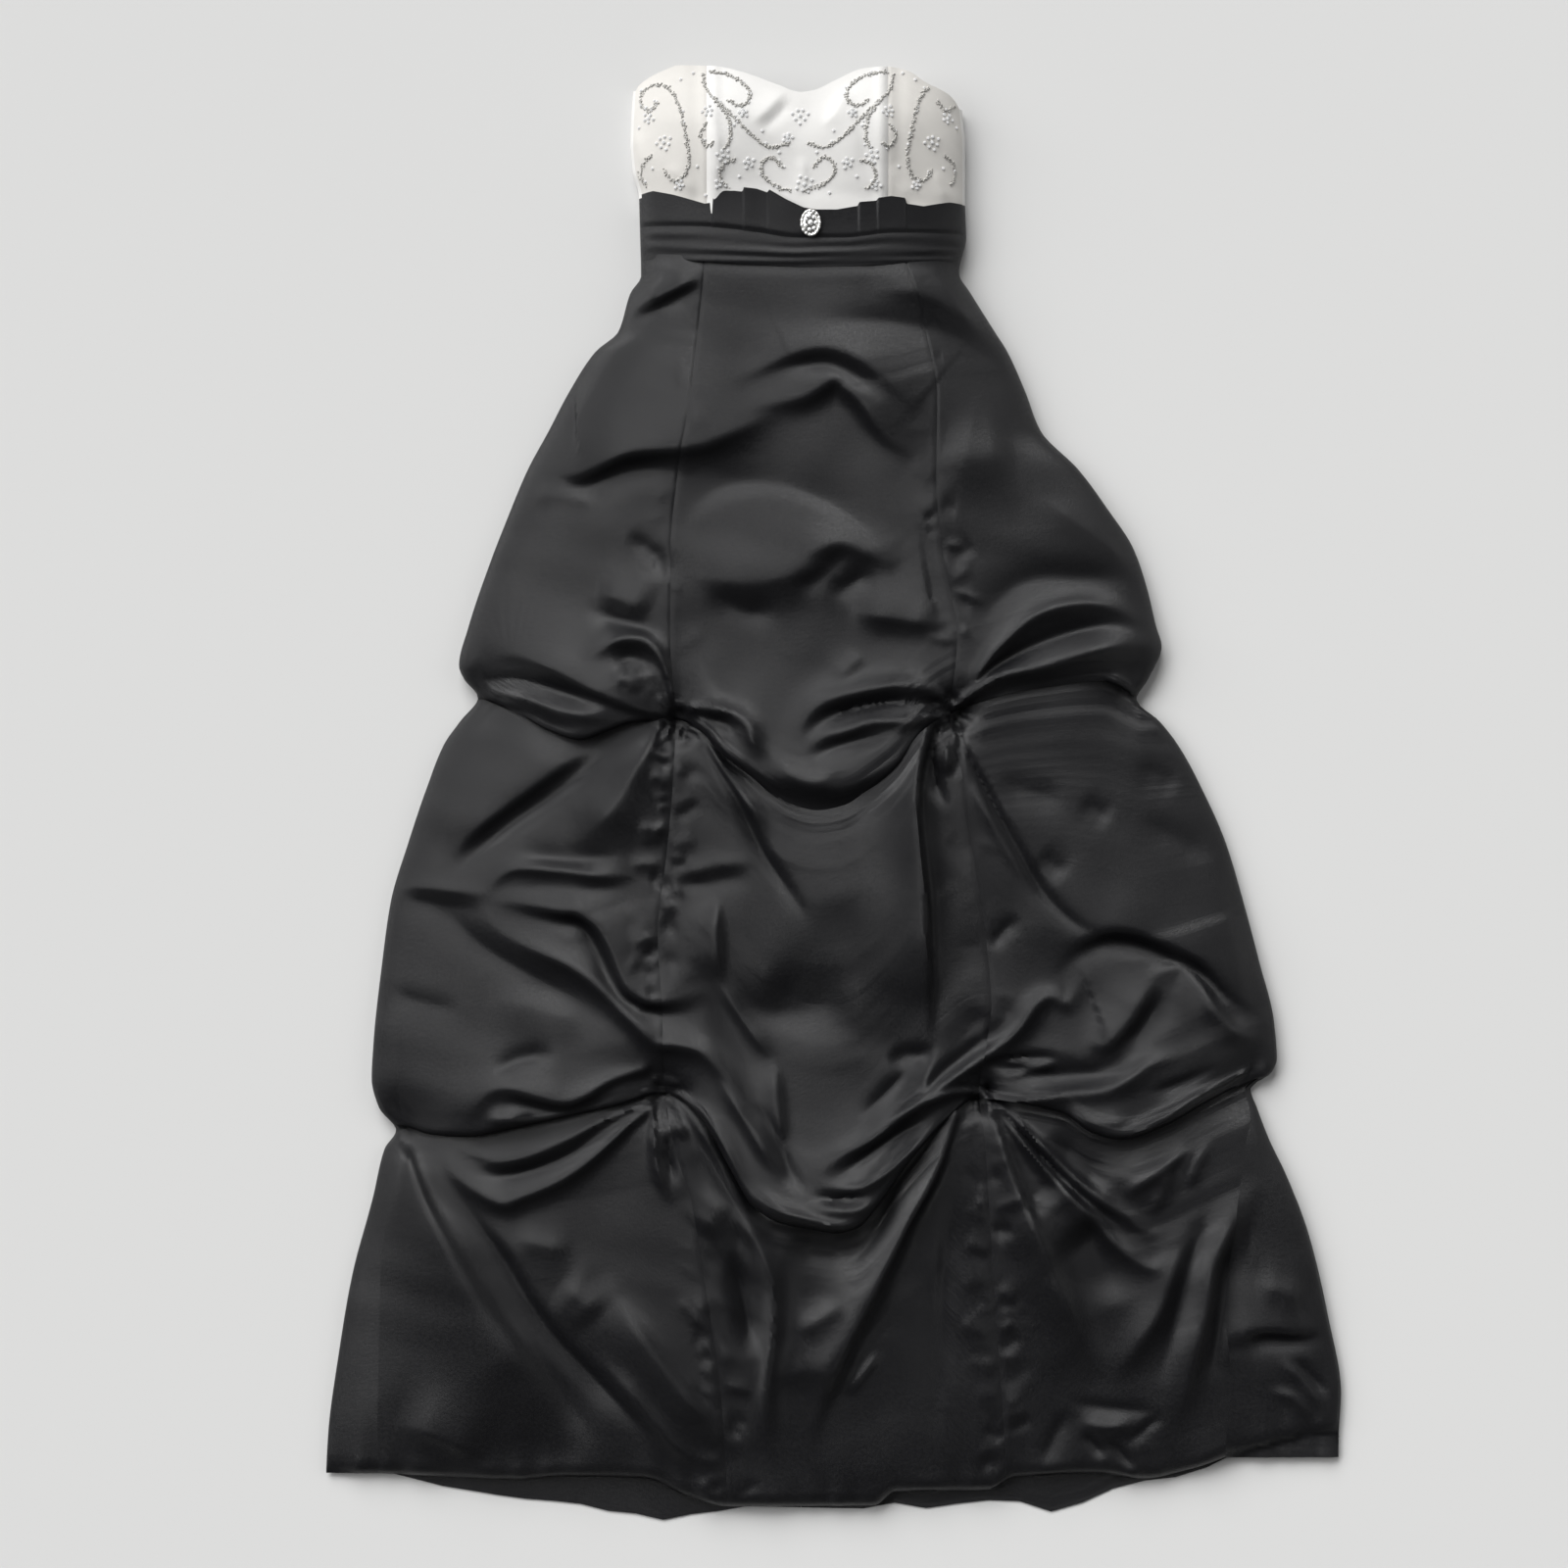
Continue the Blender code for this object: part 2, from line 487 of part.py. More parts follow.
def back_grid(fronts, side, neck_dip=0.0, hem_drop=False):
    """Points of a back piece: from its side seam on top, round the rim and along the surface
    to the middle of the back. side is -1 for the left and 1 for the right. fronts holds the
    rows and the height function of each front piece that it meets."""
    grids = []
    met = [(rows, i, height) for rows, height in fronts for i in range(len(rows))]
    for rows, i, height in met:
        row = rows[i]
        x, y = settle([0 if side < 0 else 4], row)
        rim_x = float(sides(y[0])[0 if side < 0 else 1])
        seam_x, seam_y = float(x[0]) + side * SEAM / 2, float(y[0])
        x = rim_x - (rim_x - seam_x) * np.array(STRIP_SHARES)
        around = neighbours_of(rows, i)
        outside, inside = wall_points(x, np.full(len(x), seam_y), row, around, height)
        # The inside of the strip stays a wall's thickness inside the rim.
        room = np.maximum(side * (rim_x - inside[:, 0]), WALL)
        inside[:, 0] = rim_x - side * room
        outside, inside = list(outside), list(inside)
        for bend in RIM_BENDS:
            outside.append((rim_x - side * bend.out_in, seam_y, bend.out_z))
            inside.append((rim_x - side * bend.in_in, seam_y, bend.in_z))
        flat_x = rim_x - side * RIM_BENDS[-1].in_in
        middle = BACK_MIDDLE + side * SEAM / 2
        for share in FLAT_SHARES:
            x = flat_x + (middle - flat_x) * share
            y = seam_y - neck_dip * (1 - row.share) * share
            if hem_drop and row.tier == 2:
                y += row.share**2 * (line_y(BACK_HEM, x) - line_y(FRONT_HEM, seam_x))
            outside.append((x, y, 0.0))
            inside.append((x, y, WALL))
        grids.append((outside, inside))
    return [outside for outside, _ in grids], [inside for _, inside in grids]


def solid_object(name, outside, inside, colour, roughness):
    """One closed wall from matching grids of outside and inside points."""
    rows, count = len(outside), len(outside[0])
    mesh = bmesh.new()
    skins = [
        [[mesh.verts.new(np.array(point) * MM) for point in row] for row in grid]
        for grid in (outside, inside)
    ]
    out_verts, in_verts = skins
    for i in range(rows - 1):
        for j in range(count - 1):
            for verts in skins:
                corners = (verts[i][j], verts[i + 1][j], verts[i + 1][j + 1], verts[i][j + 1])
                mesh.faces.new(corners if verts is out_verts else corners[::-1])
    for i in range(rows - 1):
        for j in (0, count - 1):
            mesh.faces.new(
                (out_verts[i][j], in_verts[i][j], in_verts[i + 1][j], out_verts[i + 1][j])
            )
    for j in range(count - 1):
        for i in (0, rows - 1):
            mesh.faces.new(
                (out_verts[i][j], out_verts[i][j + 1], in_verts[i][j + 1], in_verts[i][j])
            )
    bmesh.ops.triangulate(mesh, faces=mesh.faces[:])
    bmesh.ops.recalc_face_normals(mesh, faces=mesh.faces[:])
    return finish_object(name, mesh, colour, roughness)


def finish_object(name, mesh, colour, roughness, metallic=0.0):
    data = bpy.data.meshes.new(name)
    mesh.to_mesh(data)
    mesh.free()
    data.shade_smooth()
    data.set_sharp_from_angle(angle=math.radians(50))
    thing = bpy.data.objects.new(name, data)
    bpy.context.scene.collection.objects.link(thing)
    material = bpy.data.materials.new(name)
    material.use_nodes = True
    shader = material.node_tree.nodes["Principled BSDF"]
    shader.inputs["Base Color"].default_value = (*colour, 1)
    shader.inputs["Roughness"].default_value = roughness
    shader.inputs["Metallic"].default_value = metallic
    data.materials.append(material)
    return thing


def marks_between(first, last, counts):
    """Column places from one seam to another, with counts columns in each quarter."""
    marks = [float(first)]
    for quarter, count in zip(range(first, last), counts):
        marks.extend(quarter + (k + 1) / count for k in range(count))
    return marks


def build_bodice():
    side = marks_between(0, 1, [BODICE_SIDE_COLUMNS])
    centre = marks_between(1, 3, [BODICE_CENTRE_HALF_COLUMNS] * 2)
    other = [u + 3 for u in side]
    for name, marks in (
        ("bodice_side_front_left", side),
        ("bodice_front_centre", centre),
        ("bodice_side_front_right", other),
    ):
        solid_object(name, *front_grid(BODICE, marks, bodice_height), WHITE_SATIN, 0.35)
    for name, way in (("bodice_back_left", -1), ("bodice_back_right", 1)):
        grids = back_grid([(BODICE, bodice_height)], way, neck_dip=NECK_DIP)
        solid_object(name, *grids, WHITE_SATIN, 0.35)


def build_waist():
    band = marks_between(0, 4, BAND_COLUMNS)
    sash = marks_between(0, 4, SASH_COLUMNS)
    solid_object("waistband_front", *front_grid(BAND, band, band_height), BLACK_SATIN, 0.35)
    solid_object("sash_front", *front_grid(SASH, sash, sash_height), BLACK_SATIN, 0.35)
    fronts = [(BAND, band_height), (SASH, sash_height)]
    for name, way in (("waistband_back_left", -1), ("waistband_back_right", 1)):
        solid_object(name, *back_grid(fronts, way), BLACK_SATIN, 0.35)


def build_skirt():
    side = marks_between(0, 1, [SIDE_GORE_COLUMNS])
    centre = marks_between(1, 3, [CENTRE_HALF_COLUMNS] * 2)
    other = [u + 3 for u in side]
    for name, marks in (
        ("skirt_front_left", side),
        ("skirt_front_centre", centre),
        ("skirt_front_right", other),
    ):
        solid_object(name, *front_grid(SKIRT, marks, skirt_height), BLACK_SATIN, 0.3)
    for name, way in (("skirt_back_left", -1), ("skirt_back_right", 1)):
        grids = back_grid([(SKIRT, skirt_height)], way, hem_drop=True)
        solid_object(name, *grids, BLACK_SATIN, 0.3)


def build_brooch():
    """An oval dish with a raised rim and a domed middle, seated on the band."""
    x, y = BROOCH["x"], BROOCH["y"]
    around = np.linspace(0, math.tau, BROOCH_SIDES, endpoint=False)
    rim_x = x + BROOCH["wide"] / 2 * np.cos(around)
    rim_y = y + BROOCH["tall"] / 2 * np.sin(around)
    under = [0.4 * rim + 0.6 * middle for rim, middle in ((rim_x, x), (rim_y, y))]
    tops = [
        float(np.max(height(px, py, 0)))
        for height in (band_height, sash_height)
        for px, py in ((rim_x, rim_y), under)
    ]
    seat = max(tops) + 2 * SEAM
    profile = ((1.0, 0.0), (1.0, 0.55), (0.88, 0.8), (0.72, 0.55), (0.5, 0.75), (0.25, 0.95))
    mesh = bmesh.new()
    rings = []
    for size, lift in profile:
        rings.append([
            mesh.verts.new(np.array([
                x + (px - x) * size, y + (py - y) * size, seat + lift * BROOCH["thick"]
            ]) * MM)
            for px, py in zip(rim_x, rim_y)
        ])  # fmt: skip
    for lower, upper in zip(rings, rings[1:]):
        for k in range(len(lower)):
            after = (k + 1) % len(lower)
            mesh.faces.new((lower[k], lower[after], upper[after], upper[k]))
    mesh.faces.new(rings[0][::-1])
    mesh.faces.new(rings[-1])
    bmesh.ops.recalc_face_normals(mesh, faces=mesh.faces[:])
    finish_object("brooch", mesh, SILVER, 0.2, metallic=1.0)


def main():
    for thing in list(bpy.data.objects):
        bpy.data.objects.remove(thing)
    build_bodice()
    build_waist()
    build_skirt()
    build_brooch()


main()
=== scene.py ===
"""The looks of a strapless gown that lies on its back: satin sheets on the forms of its solids,
beaded scrollwork on the bodice, and a stone brooch.

X runs across the gown, Y from the hem up to the neck and Z up. Tables are in millimetres.
"""

import json
import math
import random
from collections import namedtuple

import bmesh
import bpy
import numpy as np
from bpy.props import FloatProperty, FloatVectorProperty, PointerProperty
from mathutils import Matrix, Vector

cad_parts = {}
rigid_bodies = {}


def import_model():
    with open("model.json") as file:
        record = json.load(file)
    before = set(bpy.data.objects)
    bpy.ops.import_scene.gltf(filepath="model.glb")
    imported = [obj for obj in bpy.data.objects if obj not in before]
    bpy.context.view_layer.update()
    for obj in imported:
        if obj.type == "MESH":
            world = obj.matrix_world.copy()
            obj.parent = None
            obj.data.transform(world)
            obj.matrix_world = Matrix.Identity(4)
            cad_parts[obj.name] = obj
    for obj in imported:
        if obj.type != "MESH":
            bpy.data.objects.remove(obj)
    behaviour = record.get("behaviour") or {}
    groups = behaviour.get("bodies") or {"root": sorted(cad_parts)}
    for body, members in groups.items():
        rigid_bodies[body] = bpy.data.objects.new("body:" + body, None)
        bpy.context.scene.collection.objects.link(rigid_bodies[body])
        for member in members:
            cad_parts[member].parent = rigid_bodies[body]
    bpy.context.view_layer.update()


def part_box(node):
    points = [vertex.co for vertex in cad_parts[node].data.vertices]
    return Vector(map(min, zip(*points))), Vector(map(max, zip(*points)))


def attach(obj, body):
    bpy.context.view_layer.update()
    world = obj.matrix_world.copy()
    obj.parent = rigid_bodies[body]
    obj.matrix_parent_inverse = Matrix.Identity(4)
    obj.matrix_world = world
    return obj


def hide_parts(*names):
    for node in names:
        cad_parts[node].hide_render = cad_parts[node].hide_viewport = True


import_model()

bl_info = {
    "name": "Pick-up Gown",
    "version": (1, 0, 0),
    "blender": (4, 5, 0),
    "location": "View3D > Sidebar > Gown",
    "description": "Builds a satin gown with a beaded bodice and a picked-up skirt",
    "category": "Object",
}

MM = 0.001

# The plain laid shape, as the solids have it
RIM = 7.0
ROUNDING = 3.5
CRISP_ROLL = 11.0
PUFF_REACH = 140.0
TUCK_UNDER = 3.0
CUP = dict(left=-108, right=34, y=632, rise=9, wide=44, tall=52)
BACK_MIDDLE = -30.0
NECK_DIP = 25.0
SEAM_DEPTH = 0.7
SEAM_WIDTH = 1.5
WAIST_DROP = 2.0  # the skirt goes this far down where it meets the sash
HEM_ROLL = 15.0
TUCK_EDGE = 0.6
BODICE_SEAMS = ((-120, 1), (53, -1))  # the princess seams, and the way to the middle
PINCHES = 20  # short creases round each pick-up
VIEW_MIDDLE = (-46.3, 11.3)  # the point of the gown's frame that lies in the picture's middle

Crown = namedtuple("Crown", "y top")
CROWNS = (
    Crown(-700, 15), Crown(-600, 23), Crown(-450, 30), Crown(-300, 34), Crown(-100, 38),
    Crown(100, 39), Crown(250, 42), Crown(420, 45), Crown(510, 47), Crown(560, 46),
    Crown(640, 50), Crown(700, 44),
)  # fmt: skip

# Outline of the gown seen from above
Edge = namedtuple("Edge", "y x")
LEFT_EDGE = (
    Edge(-690, -489), Edge(-612, -485), Edge(-537, -475), Edge(-461, -462), Edge(-386, -442),
    Edge(-340, -431), Edge(-322, -420), Edge(-300, -436), Edge(-272, -443), Edge(-234, -441),
    Edge(-159, -433), Edge(-102, -425), Edge(-45, -408), Edge(11, -389), Edge(49, -374),
    Edge(72, -358), Edge(95, -341), Edge(112, -354), Edge(125, -359), Edge(162, -350),
    Edge(219, -331), Edge(276, -309), Edge(314, -293), Edge(351, -273), Edge(389, -253),
    Edge(427, -228), Edge(446, -206), Edge(484, -194), Edge(500, -184), Edge(545, -185),
    Edge(577, -186), Edge(600, -192), Edge(626, -194), Edge(673, -192), Edge(700, -188),
)  # fmt: skip
RIGHT_EDGE = (
    Edge(-690, 487), Edge(-612, 488), Edge(-575, 490), Edge(-499, 477), Edge(-423, 459),
    Edge(-367, 438), Edge(-329, 420), Edge(-300, 409), Edge(-282, 403), Edge(-266, 423),
    Edge(-253, 428), Edge(-215, 425), Edge(-159, 411), Edge(-102, 396), Edge(-45, 379),
    Edge(11, 354), Edge(49, 333), Edge(72, 315), Edge(93, 293), Edge(112, 304),
    Edge(144, 317), Edge(162, 312), Edge(200, 303), Edge(238, 290), Edge(276, 265),
    Edge(314, 237), Edge(351, 201), Edge(389, 186), Edge(427, 169), Edge(446, 157),
    Edge(484, 133), Edge(503, 122), Edge(537, 129), Edge(567, 128), Edge(626, 128),
    Edge(649, 126), Edge(700, 120),
)  # fmt: skip
Inset = namedtuple("Inset", "y left right")
SIDE_SEAM = (
    Inset(-690, 52, 110), Inset(-633, 50, 110), Inset(-511, 36, 102), Inset(-400, 20, 64),
    Inset(-345, 18, 32), Inset(-300, 5, 8), Inset(-250, 3, 3), Inset(700, 3, 3),
)  # fmt: skip
Front = namedtuple("Front", "y left right")
FRONT_SEAMS = (
    Front(-690, -100, 170), Front(-583, -106, 163), Front(-475, -121, 155),
    Front(-393, -134, 150), Front(-333, -152, 146), Front(-285, -160, 141),
    Front(-200, -163, 152), Front(-131, -167, 146), Front(-60, -159, 135),
    Front(20, -152, 124), Front(76, -150, 113), Front(150, -155, 119), Front(230, -155, 106),
    Front(300, -149, 99), Front(380, -136, 100), Front(448, -128, 88), Front(510, -122, 70),
    Front(537, -121, 58), Front(567, -120, 53), Front(700, -120, 53),
)  # fmt: skip

# Lines across the gown
Line = namedtuple("Line", "x y")
NECKLINE = (
    Line(-194, 664), Line(-186, 681), Line(-158, 695), Line(-148, 698), Line(-111, 696),
    Line(-85, 690), Line(-52, 678), Line(-31, 671), Line(-17, 673), Line(2, 682),
    Line(30, 694), Line(54, 696), Line(73, 692), Line(89, 682), Line(111, 672),
    Line(120, 663), Line(127, 645),
)  # fmt: skip
BODICE_FOOT = (Line(-186, 560), Line(-33, 552), Line(128, 558))
BAND_TOP = (
    Line(-188, 572), Line(-184, 577), Line(-172, 579), Line(-151, 574), Line(-122, 565),
    Line(-115, 566), Line(-113.5, 575), Line(-100, 577.5), Line(-86, 576), Line(-84.5, 580),
    Line(-72, 578.5), Line(-62, 575), Line(-60.5, 578), Line(-45, 569), Line(-28, 561),
    Line(-15, 559), Line(4, 559), Line(24, 562.5), Line(25.5, 566), Line(42, 567.5),
    Line(43.5, 570), Line(56, 572), Line(69, 570.5), Line(71, 565), Line(87, 563),
    Line(112, 568), Line(130, 567),
)  # fmt: skip
PLAIN_BAND_TOP = (Line(-188, 574), Line(-33, 566), Line(130, 567))
BAND_FOOT = (
    Line(-188, 546), Line(-121, 543), Line(-75, 538), Line(-32, 532), Line(10, 532),
    Line(57, 537), Line(130, 538),
)  # fmt: skip
SASH_FOOT = (Line(-186, 515), Line(-122, 510), Line(-26, 505), Line(70, 508), Line(126, 513))
SKIRT_TOP = (Line(-186, 520), Line(-122, 515), Line(-26, 511), Line(70, 513), Line(126, 518))
Lip = namedtuple("Lip", "x y drop roll")  # roll is how far back from its edge a puff swells
UPPER_PUFFS = (
    Lip(-341, 95, 3, 8), Lip(-300, 78, 8, 8), Lip(-271, 62, 10, 8), Lip(-240, 53, 11, 8),
    Lip(-218, 60, 9, 8), Lip(-190, 70, 6, 7), Lip(-150, 73, 3, 6), Lip(-126, 62, 6, 7),
    Lip(-108, 42, 9, 8), Lip(-92, 29, 11, 9), Lip(-76, 17, 13, 13), Lip(-60, 3, 14, 18),
    Lip(-40, -9, 15, 24), Lip(-15, -15, 15, 26), Lip(10, -11, 14, 22), Lip(36, 5, 13, 16),
    Lip(62, 27, 11, 11), Lip(84, 57, 7, 8), Lip(112, 78, 3, 6), Lip(160, 96, 4, 8),
    Lip(204, 104, 6, 9), Lip(258, 110, 6, 9), Lip(294, 94, 3, 8),
)  # fmt: skip
LOWER_PUFFS = (
    Lip(-417, -315, 3, 8), Lip(-386, -325, 8, 9), Lip(-350, -327, 12, 9),
    Lip(-313, -320, 12, 9), Lip(-267, -310, 10, 9), Lip(-210, -297, 6, 8),
    Lip(-160, -285, 3, 6), Lip(-127, -306, 8, 8), Lip(-100, -352, 13, 9),
    Lip(-76, -392, 17, 10), Lip(-50, -408, 20, 10), Lip(-22, -414, 21, 10),
    Lip(4, -418, 21, 10), Lip(24, -413, 20, 10), Lip(42, -394, 17, 10), Lip(75, -348, 12, 9),
    Lip(105, -314, 7, 8), Lip(140, -290, 3, 6), Lip(219, -303, 8, 8), Lip(248, -322, 12, 9),
    Lip(277, -329, 14, 9), Lip(318, -316, 12, 9), Lip(357, -295, 8, 8), Lip(405, -272, 3, 8),
)  # fmt: skip
FRONT_HEM = (
    Line(-487, -650), Line(-415, -653), Line(-300, -658), Line(-260, -655), Line(-180, -657),
    Line(-140, -674), Line(-100, -684), Line(40, -683), Line(62, -670), Line(150, -668),
    Line(176, -656), Line(256, -652), Line(300, -657), Line(345, -648), Line(398, -630),
    Line(473, -613), Line(490, -611),
)  # fmt: skip
BACK_HEM = (
    Line(-487, -650), Line(-415, -653), Line(-396, -661), Line(-339, -671), Line(-301, -677),
    Line(-245, -682), Line(-226, -688), Line(-188, -692), Line(-169, -699), Line(-150, -694),
    Line(-112, -690), Line(-94, -685), Line(39, -687), Line(58, -681), Line(76, -688),
    Line(114, -683), Line(171, -678), Line(209, -690), Line(247, -679), Line(284, -663),
    Line(341, -655), Line(398, -630), Line(473, -613), Line(490, -611),
)  # fmt: skip

PickUp = namedtuple("PickUp", "x y depth radius")
PICK_UPS = (
    PickUp(-150, 73, 15, 22), PickUp(113, 80, 13, 20), PickUp(-160, -283, 14, 24),
    PickUp(142, -286, 13, 22), PickUp(-341, 95, 8, 32), PickUp(294, 94, 8, 32),
    PickUp(-419, -320, 8, 32), PickUp(404, -279, 8, 32),
)  # fmt: skip

# Folds of each tier of the skirt. rise is up from the cloth, or down if negative. up and down are
# the widths of the flanks towards the neck and towards the hem, or on an upright fold towards
# the left and the right.
Fold = namedtuple("Fold", "rise up down path")
UPPER_FOLDS = (
    Fold(9, 34, 9, ((-194, 466), (-160, 480), (-121, 500))),
    Fold(-4, 6, 8, ((-200, 452), (-165, 468), (-122, 488))),
    Fold(6, 26, 14, ((30, 486), (100, 476), (160, 436))),
    Fold(-5, 14, 20, ((-20, 456), (60, 452), (124, 434), (172, 400))),
    Fold(6, 22, 7, ((-100, 395), (-29, 424), (10, 424), (48, 400), (84, 366))),
    Fold(-6, 8, 8, ((-56, 408), (-16, 412), (3, 410), (28, 396), (50, 376))),
    Fold(11, 46, 9, ((-84, 371), (-29, 380), (3, 398), (21, 383), (53, 343), (88, 324))),
    Fold(14, 70, 12, ((-276, 318), (-240, 311), (-194, 328), (-139, 333), (-100, 345),
                      (-47, 372))),
    Fold(-6, 8, 14, ((-272, 304), (-240, 296), (-194, 312), (-140, 318))),
    Fold(3, 12, 10, ((-292, 284), (-262, 288), (-225, 278))),
    Fold(5, 34, 30, ((104, 330), (140, 322), (176, 326))),
    Fold(4, 14, 18, ((186, 290), (240, 256), (300, 212))),
    Fold(10, 46, 22, ((-150, 216), (-115, 207), (-84, 203), (-50, 208), (0, 222), (44, 233))),
    Fold(-5, 24, 9, ((-153, 246), (-132, 276), (-100, 297), (-56, 299), (-11, 286), (28, 262),
                     (52, 236))),
    Fold(6, 16, 9, ((-32, 226), (6, 240), (40, 228), (62, 216))),
    Fold(-6, 10, 12, ((-42, 196), (-18, 206), (2, 222), (22, 228))),
    Fold(-5, 12, 14, ((-119, 196), (-80, 176), (-50, 184))),
    Fold(9, 38, 12, ((16, 176), (60, 170), (96, 166), (112, 172))),
    Fold(-5, 10, 12, ((-4, 188), (20, 204), (44, 214))),
    Fold(-5, 9, 9, ((-196, 252), (-168, 228), (-159, 205))),
    Fold(5, 22, 10, ((-228, 196), (-200, 188), (-172, 176))),
    Fold(-5, 8, 9, ((-235, 188), (-213, 170), (-177, 160), (-162, 146))),
    Fold(10, 44, 9, ((-331, 128), (-308, 137), (-272, 124), (-226, 101), (-190, 86),
                     (-160, 78))),
    Fold(-5, 6, 7, ((-330, 112), (-300, 112), (-260, 100), (-215, 84))),
    Fold(6, 9, 7, ((-325, 100), (-292, 92), (-258, 80), (-226, 76), (-190, 76))),
    Fold(-4, 5, 5, ((-330, 90), (-296, 80), (-262, 66), (-236, 62))),
    Fold(8, 10, 8, ((-240, 128), (-220, 141), (-203, 149), (-182, 149), (-168, 138),
                    (-158, 118), (-153, 98))),
    Fold(-6, 9, 10, ((-212, 128), (-188, 132), (-170, 118))),
    Fold(4, 10, 8, ((-214, 112), (-196, 110), (-182, 98))),
    Fold(6, 22, 7, ((-150, 90), (-132, 84), (-112, 86), (-96, 94))),
    Fold(9, 10, 8, ((-132, 84), (-108, 81), (-93, 77), (-80, 66), (-74, 50), (-70, 32))),
    Fold(-5, 5, 6, ((-124, 76), (-104, 70), (-92, 62))),
    Fold(6, 7, 6, ((-126, 70), (-114, 60), (-104, 46), (-92, 34), (-78, 28))),
    Fold(9, 14, 8, ((-38, 52), (-28, 69), (-10, 88), (21, 98), (60, 105), (94, 100),
                    (114, 86))),
    Fold(-7, 6, 7, ((-28, 54), (-10, 72), (21, 84), (60, 90), (98, 88))),
    Fold(6, 7, 6, ((-30, 44), (-8, 56), (10, 61), (37, 70), (61, 71), (100, 76))),
    Fold(-5, 6, 6, ((-26, 34), (0, 46), (30, 54), (60, 60))),
    Fold(5, 8, 8, ((-48, 40), (-46, 26), (-34, 16), (-14, 12), (6, 20))),
    Fold(3, 12, 8, ((-2, 112), (14, 122), (30, 138))),
    Fold(4, 5, 5, ((60, 62), (74, 68), (88, 70))),
    Fold(9, 10, 10, ((118, 86), (131, 101), (144, 122), (159, 142), (191, 170), (227, 182),
                     (264, 181), (301, 165))),
    Fold(-6, 16, 16, ((134, 150), (160, 190), (195, 208), (240, 208), (300, 203))),
    Fold(-7, 9, 9, ((126, 100), (150, 120), (185, 140), (227, 156), (270, 164), (300, 158))),
    Fold(9, 12, 9, ((120, 86), (140, 102), (163, 115), (204, 124), (250, 138), (312, 149))),
    Fold(-5, 8, 8, ((130, 88), (170, 102), (210, 108), (262, 118), (300, 128))),
    Fold(4, 5, 5, ((262, 112), (280, 106), (292, 94))),
)  # fmt: skip
